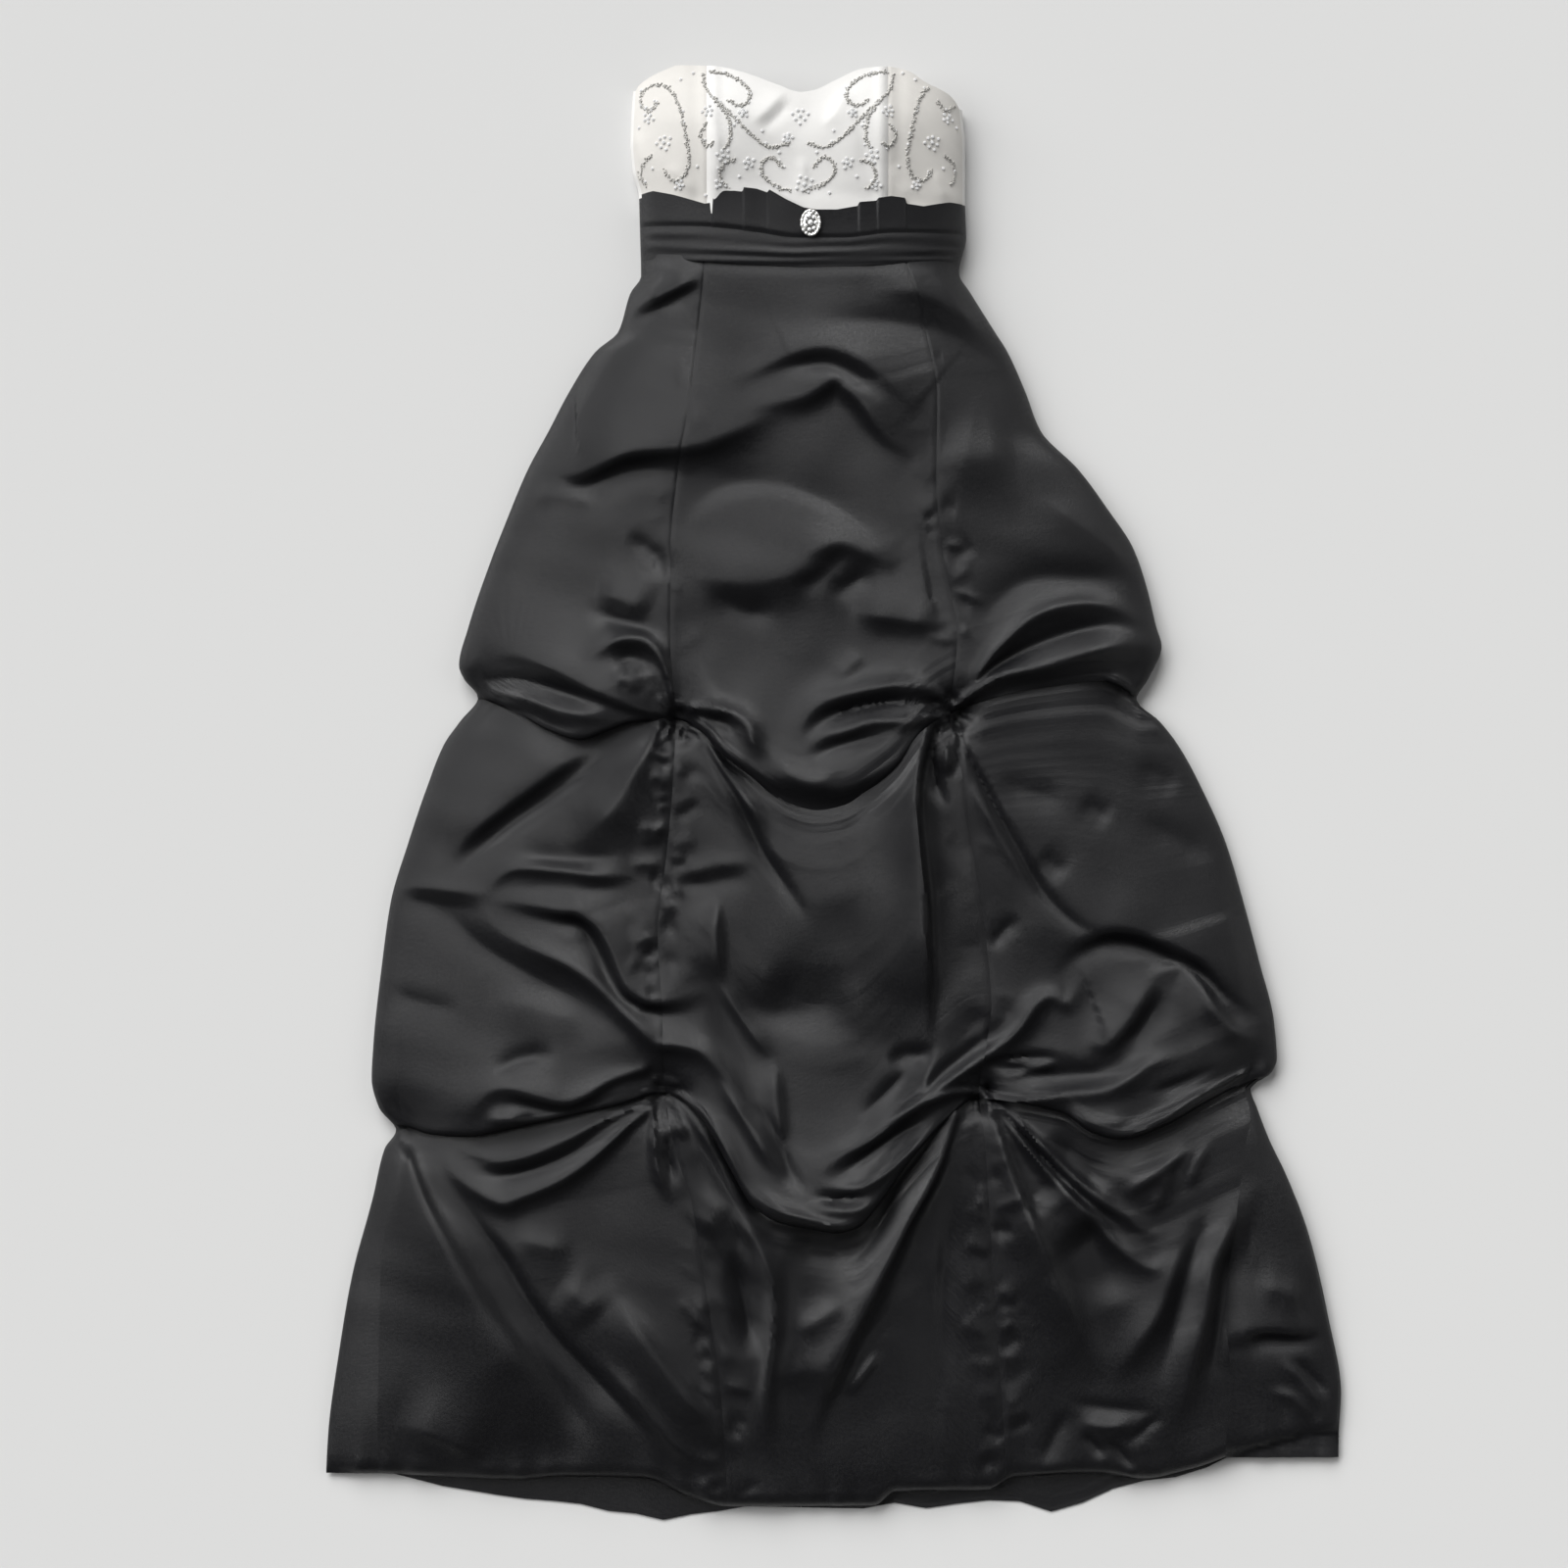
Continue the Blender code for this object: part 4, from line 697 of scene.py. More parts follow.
def seeded_creases():
    """Short creases that nobody places one by one: those across the front seams, where the
    stitching draws the cloth in, and those round each pick-up."""
    draw = random.Random(11)
    creases = []
    front_y, *fronts = columns(FRONT_SEAMS)
    strengths = columns(PUCKERS)
    for seam, strength in zip(fronts, strengths[1:]):
        y = -676.0
        while y < 500:
            amount = float(through(np.array([y]), strengths[0], strength)[0])
            way = draw.choice((-1, 1))
            seam_x = float(through(np.array([y]), front_y, seam)[0])
            start = (seam_x + way * draw.uniform(1, 3), y)
            length = draw.uniform(10, 34)
            end = (start[0] + way * length, y + draw.uniform(-0.5, 0.9) * length)
            middle = ((start[0] + end[0]) / 2, (start[1] + end[1]) / 2 + draw.uniform(-3, 3))
            rise = amount * draw.uniform(0.6, 1.7) * draw.choice((-1, 1, 1))
            width = draw.uniform(4.0, 9.0)
            creases.append(Fold(rise, width * draw.uniform(0.9, 1.8), width,
                                (start, middle, end)))  # fmt: skip
            y += draw.uniform(6, 20) / max(amount, 0.5)
    for point in PICK_UPS[:4]:
        for k in range(PINCHES):
            turn = math.tau * (k + draw.uniform(-0.4, 0.4)) / PINCHES
            near, far = draw.uniform(2, 8), draw.uniform(12, 30)
            bend = turn + draw.uniform(-0.3, 0.3)
            path = [
                (point.x + reach * math.cos(angle), point.y + reach * math.sin(angle))
                for reach, angle in ((near, turn), ((near + far) / 2, bend), (far, turn))
            ]
            width = draw.uniform(2.0, 3.6)
            creases.append(Fold(draw.uniform(1.5, 4) * draw.choice((-1, 1)), width, width, path))
    return creases


def seam_dip(x, y):
    """The narrow dip of the front seams' stitching."""
    front_y, *fronts = columns(FRONT_SEAMS)
    dips = [np.exp(-(((x - through(y, front_y, seam)) / SEAM_WIDTH) ** 2)) for seam in fronts]
    return -SEAM_DEPTH * sum(dips)


def crispness(rows, x):
    """1 where a puff's edge is crisp, 0 where it is a soft swag."""
    knots, _, _, roll = columns(rows)
    return 1 - np.clip((through(x, knots, roll) - CRISP_ROLL) / CRISP_ROLL, 0, 1)


def skirt_height(x, y, tier):
    """The skirt's height in one of its three tiers, the first being the one at the waist."""
    height = crown(x, y) + ripple(x, y)
    if tier == 0:
        height = height - WAIST_DROP * ease(-12, 2, y - line_y(SASH_FOOT, x))
    if tier < 2:
        height = height + puff_height((UPPER_PUFFS, LOWER_PUFFS)[tier], x, y)
    if tier > 0:
        lips = (UPPER_PUFFS, LOWER_PUFFS)[tier - 1]
        knots, edge_y, *_ = columns(lips)
        below = through(x, knots, edge_y) - y
        height = height - TUCK_UNDER * (1 - ease(0, 40, below)) * crispness(lips, x)
    left, right = sides(y)
    inside = ease(0, 26, np.minimum(x - left, right - x))
    folds = np.zeros(x.shape)
    for fold in (UPPER_FOLDS, MIDDLE_FOLDS, LOWER_FOLDS)[tier]:
        folds = folds + fold_height(fold, x, y)
    for fold in SEEDED_CREASES:
        folds = folds + fold_height(fold, x, y, gathers=False)
    height = height + inside * (folds + seam_dip(x, y))
    for point in PICK_UPS:
        away = np.hypot(x - point.x, y - point.y)
        height = height - inside * point.depth * np.exp(-((away / point.radius) ** 2))
    if tier == 2:
        above = y - line_y(FRONT_HEM, x)
        roll = np.sqrt(1 - (1 - np.clip(above / HEM_ROLL, 0, 1)) ** 2)
        gathers = 1.6 * np.sin(x / 6.3 + 2 * np.sin(x / 23)) + 1.2 * np.sin(x / 10.7)
        height = height + gathers * np.exp(-above / 20)
        height = 3.5 + (height - 3.5) * (0.35 + 0.65 * roll)
    return np.maximum(height, 3.2 + inside * 4)


SEEDED_CREASES = seeded_creases()


def bodice_height(x, y, _=0):
    """The bodice's height: its cups, its princess seams and the drag of the cloth."""
    height = crown(x, y)
    for middle in (CUP["left"], CUP["right"]):
        spread = ((x - middle) / CUP["wide"]) ** 2 + ((y - CUP["y"]) / CUP["tall"]) ** 2
        height = height + CUP["rise"] * np.exp(-spread)
    for seam, way in BODICE_SEAMS:
        away = (x - seam) * way
        height = height - 1.1 * np.exp(-((away / 1.6) ** 2))
        height = height + 1.6 * np.exp(-(((away - 7) / 5.5) ** 2))
        height = height - 1.3 * np.exp(-(((away + 10) / 8) ** 2))
    lean = (x - BODICE_MIDDLE) * 0.8
    drag = np.sin((np.abs(lean) - (y - 560) * 0.9) / 9.0)
    height = height + 0.5 * drag * ease(600, 650, y) * np.exp(-np.abs(lean) / 60)
    for fold in BODICE_FOLDS:
        height = height + fold_height(fold, x, y, gathers=False)
    wrinkle = np.sin(y / 5.5 + x / 31) * np.exp(-(((y - 572) / 12) ** 2))
    return height + 0.35 * wrinkle


def band_height(x, y, _=0):
    """The band's height: each tuck is a step that sinks towards its right."""
    height = crown(x, y) + 2.2
    for tuck in BAND_TUCKS:
        inside = ease(tuck.low - TUCK_EDGE, tuck.low + TUCK_EDGE, x)
        inside = inside * (1 - ease(tuck.high - TUCK_EDGE, tuck.high + TUCK_EDGE, x))
        share = (x - tuck.low) / (tuck.high - tuck.low)
        lift = 0.75 + 0.25 * np.cos(math.pi * share)
        height = height + 0.55 * tuck.rise * inside * lift * (0.55 + 0.45 * ease(536, 566, y))
    above = y - line_y(BAND_FOOT, x)
    return height - 1.6 * np.exp(-((above / 3.0) ** 2))


def sash_height(x, y, _=0):
    """The sash's height: soft folds that dip towards the brooch."""
    top, foot = line_y(BAND_FOOT, x), line_y(SASH_FOOT, x)
    share = np.clip((top - y) / (top - foot), 0, 1)
    middle = np.exp(-(((x - BODICE_MIDDLE) / 90) ** 2))
    turn = math.tau * (share**1.3 * 2.6 + 0.5 * middle + 0.16 * np.sin(x / 47))
    folds = (0.5 - 0.5 * np.cos(turn)) * (0.62 + 0.38 * np.sin(x / 31 + 5 * share))
    left, right = sides(y)
    inside = ease(0, 16, np.minimum(x - left, right - x))
    height = crown(x, y) + 0.8 + inside * 1.1 * folds
    return height - 1.5 * ease(0.6, 1.0, share)


# Grids of points


def block(u, shares, above, below):
    """Points of the rows between two lines: x depends on y, and y on x, so they are found
    in turn."""
    u = np.asarray(u)[None, :]
    s = np.asarray(shares)[:, None]
    x = np.zeros((s.shape[0], u.shape[1]))
    y = (1 - s) * line_y(above, x) + s * line_y(below, x)
    for _ in range(26):
        x = across(u, y)
        y = (1 - s) * line_y(above, x) + s * line_y(below, x)
    return x, y


def overhang(rows, x, reach):
    """How far a puff's edge hangs over the cloth below it."""
    knots, _, drop, roll = columns(rows)
    crisp = np.clip(CRISP_ROLL / through(x, knots, roll), 0, 1) ** 2
    return reach * crisp * np.clip(through(x, knots, drop) / 14, 0, 1)


def skirt_rows(u, step, reach):
    """The front of the skirt between the places u, from the waist to the hem: each tier runs
    under the puff above it, and its own puff rolls under at its edge."""
    lines = (SKIRT_TOP, UPPER_PUFFS, LOWER_PUFFS, FRONT_HEM)
    blocks = []
    for tier, (above, below) in enumerate(zip(lines, lines[1:])):
        count = int((450, 400, 350)[tier] / step)
        shares = np.linspace(0, 1, count)
        x, y = block(u, shares, above, below)
        if tier > 0:
            # The top rows are drawn up under the puff above.
            under = overhang(above, x, reach)
            y = y + under * np.exp(-shares[:, None] * count * step / 14)
        z = skirt_height(x, y, tier)
        blocks.append(np.stack([x, y, z], axis=2))
        if tier < 2:
            edge_x, edge_y, edge_z = x[-1], y[-1], z[-1]
            under = overhang(below, edge_x, reach)
            lower = skirt_height(edge_x, edge_y + under, tier + 1)
            turned = []
            for angle in np.linspace(0, math.pi / 2, 6)[1:]:
                turned_y = edge_y + under * (1 - math.cos(angle))
                turned_z = edge_z + (lower + 0.6 - edge_z) * math.sin(angle)
                turned.append(np.stack([edge_x, turned_y, np.minimum(turned_z, edge_z)], axis=1))
            blocks.append(np.array(turned))
        else:
            edge_x, edge_y, edge_z = x[-1], y[-1], z[-1]
            turned = [
                np.stack([edge_x, edge_y + back, np.maximum(edge_z * lift, 2.6)], axis=1)
                for back, lift in ((1.5, 0.75), (5, 0.6), (10, 0.55))
            ]
            blocks.append(np.array(turned))
    return np.concatenate(blocks)


def plain_rows(u, count, above, below, height):
    """Points of a piece between two lines."""
    x, y = block(u, np.linspace(0, 1, count), above, below)
    return np.stack([x, y, height(x, y)], axis=2)


def back_rows(fronts, side, neck_dip=0.0, hem=False):
    """A back piece: from its side seam on top, round the rim, and along the surface to the
    middle of the back. fronts holds the lines, the height function and the row count of each
    front piece that it meets."""
    u = 0.0 if side < 0 else 4.0
    grids = []
    for above, below, height, count in fronts:
        shares = np.linspace(0, 1, count)
        x, y = block([u], shares, above, below)
        seam_x, seam_y = x[:, 0], y[:, 0]
        rim_x = sides(seam_y)[0 if side < 0 else 1]
        strip = np.abs(rim_x - seam_x)
        parts = []
        for share in 1 - np.linspace(0, 1, 22) ** 0.6:
            px = rim_x - side * strip * share
            parts.append((px, seam_y, height(px, seam_y)))
        for angle in np.linspace(0, math.pi / 2, 7)[1:]:
            parts.append((
                rim_x - side * 6 * (1 - math.cos(angle)), seam_y,
                np.full(len(px), 6.4 * (1 - math.sin(angle))),
            ))  # fmt: skip
        flat_x = rim_x - side * 6
        for share in np.linspace(0, 1, 18)[1:]:
            px = flat_x + (BACK_MIDDLE + side * 0.3 - flat_x) * share
            py = seam_y - neck_dip * (1 - shares) * share
            if hem:
                py = py + shares**2 * (line_y(BACK_HEM, px) - line_y(FRONT_HEM, seam_x))
            rise = 0.9 * ease(0, 0.15, share) * (1 + np.sin(px / 38 + py / 57) * np.sin(py / 31))
            parts.append((px, py, rise * 0.5))
        grids.append(np.stack([np.stack(part, axis=1) for part in parts], axis=1))
    return np.concatenate(grids)


# Objects


def cloth_object(name, grid, thickness, material, turn_over=False):
    """A sheet through a grid of points, with a cloth's thickness and its own UV map."""
    if turn_over:
        grid = grid[:, ::-1]
    rows, count = grid.shape[:2]
    corner = np.arange(rows - 1)[:, None] * count + np.arange(count - 1)[None, :]
    faces = np.stack([corner, corner + count, corner + count + 1, corner + 1], axis=2)
    faces = faces.reshape(-1, 4)
    mesh = bpy.data.meshes.new(name)
    mesh.from_pydata((grid.reshape(-1, 3) * MM).tolist(), [], faces.tolist())
    along = np.linalg.norm(np.diff(grid, axis=0), axis=2).cumsum(axis=0)
    beside = np.linalg.norm(np.diff(grid, axis=1), axis=2).cumsum(axis=1)
    v = np.vstack([np.zeros((1, count)), along])
    u = np.hstack([np.zeros((rows, 1)), beside])
    places = np.stack([u, -v], axis=2).reshape(-1, 2) * MM
    layer = mesh.uv_layers.new(name="Cloth")
    layer.data.foreach_set("uv", places[faces.reshape(-1)].reshape(-1))
    mesh.shade_smooth()
    thing = bpy.data.objects.new(name, mesh)
    bpy.context.scene.collection.objects.link(thing)
    mesh.materials.append(material)
    solidify = thing.modifiers.new("Thickness", "SOLIDIFY")
    solidify.thickness = thickness
    solidify.offset = -1
    apply_modifiers(thing)
    thing.data.set_sharp_from_angle(angle=math.radians(60))
    return thing


def deselect_all():
    for thing in bpy.context.view_layer.objects:
        thing.select_set(False)


def apply_modifiers(thing):
    deselect_all()
    bpy.context.view_layer.objects.active = thing
    thing.select_set(True)
    for modifier in list(thing.modifiers):
        bpy.ops.object.modifier_apply(modifier=modifier.name)
    thing.select_set(False)


def settle_piece(thing, slot, *nodes):
    """Makes a piece ride on the gown, in place of its solids."""
    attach(thing, "root")
    if nodes:
        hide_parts(*nodes)


def lay_sheet(node, grid, material, slot, turn_over=False):
    """Makes a sheet in place of a solid."""
    thickness = bpy.context.scene.gown_cloth.thickness
    piece = cloth_object(node + "_satin", grid, thickness, material, turn_over)
    settle_piece(piece, slot, node)


# Finishes


def new_group(name, inputs, outputs):
    group = bpy.data.node_groups.new(name, "ShaderNodeTree")
    for label, default in inputs:
        socket = group.interface.new_socket(label, in_out="INPUT", socket_type="NodeSocketFloat")
        socket.default_value = default
    for label, kind in outputs:
        group.interface.new_socket(label, in_out="OUTPUT", socket_type=kind)
    return group


def weave_group():
    """Satin weave, slubs and handling marks, on the cloth's own map."""
    group = bpy.data.node_groups.get("Satin weave")
    if group:
        return group
    group = new_group(
        "Satin weave",
        (("Thread", 900.0), ("Grain", 300.0), ("Marks", 26.0)),
        (
            ("Height", "NodeSocketFloat"),
            ("Shade", "NodeSocketFloat"),
            ("Mottle", "NodeSocketFloat"),
        ),
    )
    nodes, links = group.nodes, group.links
    entry, leave = nodes.new("NodeGroupInput"), nodes.new("NodeGroupOutput")
    place = nodes.new("ShaderNodeUVMap")
    place.uv_map = "Cloth"
    across_threads = nodes.new("ShaderNodeTexWave")
    across_threads.bands_direction = "X"
    across_threads.inputs["Distortion"].default_value = 1.2
    across_threads.inputs["Detail"].default_value = 2
    links.new(place.outputs["UV"], across_threads.inputs["Vector"])
    links.new(entry.outputs["Thread"], across_threads.inputs["Scale"])
    stretch = nodes.new("ShaderNodeMapping")
    stretch.inputs["Scale"].default_value = (0.25, 1.0, 1.0)
    links.new(place.outputs["UV"], stretch.inputs["Vector"])
    marks = nodes.new("ShaderNodeTexNoise")
    marks.inputs["Detail"].default_value = 5
    marks.inputs["Roughness"].default_value = 0.55
    links.new(stretch.outputs["Vector"], marks.inputs["Vector"])
    links.new(entry.outputs["Marks"], marks.inputs["Scale"])
    grain = nodes.new("ShaderNodeTexNoise")
    grain.inputs["Detail"].default_value = 3
    links.new(place.outputs["UV"], grain.inputs["Vector"])
    links.new(entry.outputs["Grain"], grain.inputs["Scale"])
    rough = nodes.new("ShaderNodeMix")
    rough.inputs["Factor"].default_value = 0.72
    links.new(across_threads.outputs["Fac"], rough.inputs["A"])
    links.new(grain.outputs["Fac"], rough.inputs["B"])
    blend = nodes.new("ShaderNodeMix")
    blend.inputs["Factor"].default_value = 0.55
    links.new(rough.outputs["Result"], blend.inputs["A"])
    links.new(marks.outputs["Fac"], blend.inputs["B"])
    links.new(blend.outputs["Result"], leave.inputs["Height"])
    links.new(marks.outputs["Fac"], leave.inputs["Shade"])
    mottle = nodes.new("ShaderNodeMix")
    mottle.inputs["Factor"].default_value = 0.45
    links.new(grain.outputs["Fac"], mottle.inputs["A"])
    links.new(marks.outputs["Fac"], mottle.inputs["B"])
    links.new(mottle.outputs["Result"], leave.inputs["Mottle"])
    return group


def principled(name):
    material = bpy.data.materials.new(name)
    material.use_nodes = True
    return material, material.node_tree.nodes, material.node_tree.links


def satin(name, colour, roughness, lift, bump, specular):
    """A satin of one colour: its shade, gloss and relief change with the weave's marks."""
    material = bpy.data.materials.get(name)
    if material:
        return material
    material, nodes, links = principled(name)
    shader = nodes["Principled BSDF"]
    weave = nodes.new("ShaderNodeGroup")
    weave.node_tree = weave_group()
    tint = nodes.new("ShaderNodeMix")
    tint.data_type = "RGBA"
    tint.inputs["A"].default_value = (*[c * (1 - lift) for c in colour], 1)
    tint.inputs["B"].default_value = (*[min(c * (1 + lift), 1) for c in colour], 1)
    links.new(weave.outputs["Shade"], tint.inputs["Factor"])
    links.new(tint.outputs["Result"], shader.inputs["Base Color"])
    gloss = nodes.new("ShaderNodeMapRange")
    gloss.inputs["From Min"].default_value = 0.38
    gloss.inputs["From Max"].default_value = 0.62
    gloss.inputs["To Min"].default_value = roughness * 0.78
    gloss.inputs["To Max"].default_value = roughness * 1.22
    links.new(weave.outputs["Mottle"], gloss.inputs["Value"])
    links.new(gloss.outputs["Result"], shader.inputs["Roughness"])
    relief = nodes.new("ShaderNodeBump")
    relief.inputs["Strength"].default_value = bump
    relief.inputs["Distance"].default_value = 0.0012
    links.new(weave.outputs["Height"], relief.inputs["Height"])
    links.new(relief.outputs["Normal"], shader.inputs["Normal"])
    shader.inputs["Specular IOR Level"].default_value = specular
    shader.inputs["Sheen Weight"].default_value = 0.004
    shader.inputs["Sheen Roughness"].default_value = 0.4
    return material


def black_satin():
    cloth = bpy.context.scene.gown_cloth
    return satin("Black satin", cloth.black, 0.39, 0.16, 0.46, 0.36)


def white_satin(shaded=False):
    """The bodice's satin. The side fronts get a greyer, warmer copy of it: painted shade, for the
    shade that they lie in.
    """
    cloth = bpy.context.scene.gown_cloth
    if shaded:
        # Painted shade: the side fronts' white is darkened and warmed by these shares.
        colour = [c * part for c, part in zip(cloth.white, (0.88, 0.865, 0.84))]
        return satin("White satin in painted shade, side fronts", colour, 0.55, 0.10, 0.26, 0.15)
    return satin("White satin", cloth.white, 0.55, 0.10, 0.26, 0.15)


def speckled(name, colour, roughness, metallic, scale):
    """Beads or stones: each catches the light a little differently."""
    material = bpy.data.materials.get(name)
    if material:
        return material
    material, nodes, links = principled(name)
    shader = nodes["Principled BSDF"]
    place = nodes.new("ShaderNodeTexCoord")
    grain = nodes.new("ShaderNodeTexNoise")
    grain.inputs["Scale"].default_value = scale
    grain.inputs["Detail"].default_value = 2
    links.new(place.outputs["Object"], grain.inputs["Vector"])
    tint = nodes.new("ShaderNodeMix")
    tint.data_type = "RGBA"
    tint.inputs["A"].default_value = (*[c * 0.62 for c in colour], 1)
    tint.inputs["B"].default_value = (*[min(c * 1.3, 1) for c in colour], 1)
    links.new(grain.outputs["Fac"], tint.inputs["Factor"])
    links.new(tint.outputs["Result"], shader.inputs["Base Color"])
    gloss = nodes.new("ShaderNodeMapRange")
    gloss.inputs["To Min"].default_value = max(roughness - 0.1, 0.02)
    gloss.inputs["To Max"].default_value = roughness + 0.1
    links.new(grain.outputs["Fac"], gloss.inputs["Value"])
    links.new(gloss.outputs["Result"], shader.inputs["Roughness"])
    shader.inputs["Metallic"].default_value = metallic
    return material


# Beadwork


def solid_of_bead(kind):
    """A bead's or a stone's points and faces, at unit size."""
    shape = bmesh.new()
    if kind == "bead":
        bmesh.ops.create_icosphere(shape, subdivisions=1, radius=1)
    else:
        bmesh.ops.create_cone(
            shape, cap_ends=True, segments=8, radius1=1.0, radius2=0.55, depth=0.8
        )
    points = np.array([v.co for v in shape.verts])
    faces = [[v.index for v in face.verts] for face in shape.faces]
    shape.free()
    return points, faces


def sewn_on(name, kind, places, radii, material):
    """Copies of one bead, joined in one mesh, resting on the bodice."""
    points, faces = solid_of_bead(kind)
    vertices, polygons = [], []
    for k, ((x, y), radius) in enumerate(zip(places, radii)):
        z = float(bodice_height(np.array([x]), np.array([y]))[0])
        turn = 2.4 * k
        spin = np.array([[math.cos(turn), -math.sin(turn), 0], [math.sin(turn), math.cos(turn), 0],
                         [0, 0, 1]])  # fmt: skip
        base = len(vertices)
        moved = points @ spin.T * radius + np.array([x, y, z + radius * 0.42])
        vertices.extend((moved * MM).tolist())
        polygons.extend([[base + i for i in face] for face in faces])
    mesh = bpy.data.meshes.new(name)
    mesh.from_pydata(vertices, [], polygons)
    mesh.materials.append(material)
    thing = bpy.data.objects.new(name, mesh)
    bpy.context.scene.collection.objects.link(thing)
    return thing


def along_scroll(points, side, spacing):
    """Places of the beads along a scroll, evenly spaced."""
    path = smooth_path([(BODICE_MIDDLE + side * s.out, s.y) for s in points])
    lengths = np.concatenate([[0], np.cumsum(np.hypot(*np.diff(path, axis=0).T))])
    at = np.arange(0, lengths[-1], spacing)
    return np.stack([np.interp(at, lengths, path[:, k]) for k in (0, 1)], axis=1)


def on_bodice(x, y):
    """True where a bead fits on the bodice, clear of its edges."""
    left, right = sides(np.array([y]))
    top = line_y(NECKLINE, np.array([x]))[0]
    foot = line_y(BAND_TOP, np.array([x]))[0]
    return left[0] + 4 < x < right[0] - 4 and foot + 2 < y < top - 3


# Operators


class GownBodice(bpy.types.Operator):
    """The bodice's fronts and backs in white satin"""

    bl_idname = "gown.bodice"
    bl_label = "Bodice"

    def execute(self, context):
        step = context.scene.gown_cloth.step / MM * 0.6
        for name, first, last, wide in (
            ("bodice_side_front_left", 0, 1, 70),
            ("bodice_front_centre", 1, 3, 174),
            ("bodice_side_front_right", 3, 4, 72),
        ):
            u = np.linspace(first, last, int(wide / step))
            grid = plain_rows(u, int(125 / step), NECKLINE, BODICE_FOOT, bodice_height)
            # The side fronts take the white satin in painted shade.
            lay_sheet(name, grid, white_satin("side" in name), "white_satin")
        for side, name in ((-1, "bodice_back_left"), (1, "bodice_back_right")):
            fronts = [(NECKLINE, BODICE_FOOT, bodice_height, 60)]
            grid = back_rows(fronts, side, neck_dip=NECK_DIP)
            lay_sheet(name, grid, white_satin(), "white_satin", side < 0)
        return {"FINISHED"}


class GownBeadwork(bpy.types.Operator):
    """Beaded scrolls, flowers and loose stones on the bodice"""

    bl_idname = "gown.beadwork"
    bl_label = "Beadwork"

    def execute(self, context):
        sizes = context.scene.gown_beads
        bead, stone = sizes.bead / MM, sizes.stone / MM
        silver = speckled("Silver-lined beads", sizes.thread, 0.34, 0.35, 420)
        glass = speckled("Clear stones", (0.86, 0.87, 0.88), 0.12, 0.25, 500)
        draw = random.Random(5)
        beads, stones, sizes_of_stones = [], [], []
        for side in (-1, 1):
            for scroll in SCROLLS:
                line = along_scroll(scroll, side, bead * 1.5)
                for x, y in line:
                    for _ in range(3):
                        place = (x + draw.gauss(0, 0.85), y + draw.gauss(0, 0.85))
                        if on_bodice(*place):
                            beads.append(place)
                    if draw.random() < 0.11 and on_bodice(x, y):
                        stones.append((x + draw.gauss(0, 1.4), y + draw.gauss(0, 1.4)))
                        sizes_of_stones.append(stone * draw.uniform(0.55, 0.85))
            for flower in FLOWERS:
                self.add_flower(flower, side, stone, stones, sizes_of_stones)
            for spot in LOOSE_STONES:
                place = (BODICE_MIDDLE + side * spot.out, spot.y)
                if on_bodice(*place):
                    stones.append(place)
                    sizes_of_stones.append(stone * 0.9)
        for flower in MIDDLE_FLOWERS:
            self.add_flower(flower, 1, stone, stones, sizes_of_stones)
        radii = [bead * draw.uniform(0.65, 1.0) for _ in beads]
        scrolls = sewn_on("beaded_scrolls", "bead", beads, radii, silver)
        settle_piece(scrolls, "silver")
        flowers = sewn_on("sewn_stones", "stone", stones, sizes_of_stones, glass)
        settle_piece(flowers, "silver")
        return {"FINISHED"}

    def add_flower(self, flower, side, stone, places, radii):
        middle = (BODICE_MIDDLE + side * flower.out, flower.y)
        spots = [(middle, 1.1)]
        for k in range(flower.petals):
            turn = math.tau * k / flower.petals + flower.out
            reach = flower.reach * (0.85 + 0.3 * (k % 2))
            spots.append((
                (middle[0] + reach * math.cos(turn), middle[1] + reach * math.sin(turn)), 0.95
            ))  # fmt: skip
        for place, size in spots:
            if on_bodice(*place):
                places.append(place)
                radii.append(stone * size)


class GownWaist(bpy.types.Operator):
    """The tucked band and the ruched sash"""

    bl_idname = "gown.waist"
    bl_label = "Waistband and sash"

    def execute(self, context):
        satin_black = black_satin()
        grid = plain_rows(np.linspace(0, 4, 330), 26, BAND_TOP, BAND_FOOT, band_height)
        lay_sheet("waistband_front", grid, satin_black, "black_satin")
        grid = plain_rows(np.linspace(0, 4, 170), 44, BAND_FOOT, SASH_FOOT, sash_height)
        lay_sheet("sash_front", grid, satin_black, "black_satin")
        for side, name in ((-1, "waistband_back_left"), (1, "waistband_back_right")):
            fronts = [
                (PLAIN_BAND_TOP, BAND_FOOT, band_height, 14),
                (BAND_FOOT, SASH_FOOT, sash_height, 16),
            ]
            lay_sheet(name, back_rows(fronts, side), satin_black, "black_satin", side < 0)
        return {"FINISHED"}


class GownSkirtFront(bpy.types.Operator):
    """The three front gores of the skirt with their puffs and folds"""

    bl_idname = "gown.skirt_front"
    bl_label = "Skirt front"

    def execute(self, context):
        cloth = context.scene.gown_cloth
        step = cloth.step / MM
        for name, first, last, wide in (
            ("skirt_front_left", 0, 1, 290),
            ("skirt_front_centre", 1, 3, 262),
            ("skirt_front_right", 3, 4, 255),
        ):
            u = np.linspace(first, last, int(wide / step))
            grid = skirt_rows(u, step, cloth.overhang / MM)
            lay_sheet(name, grid, black_satin(), "black_satin")
        return {"FINISHED"}


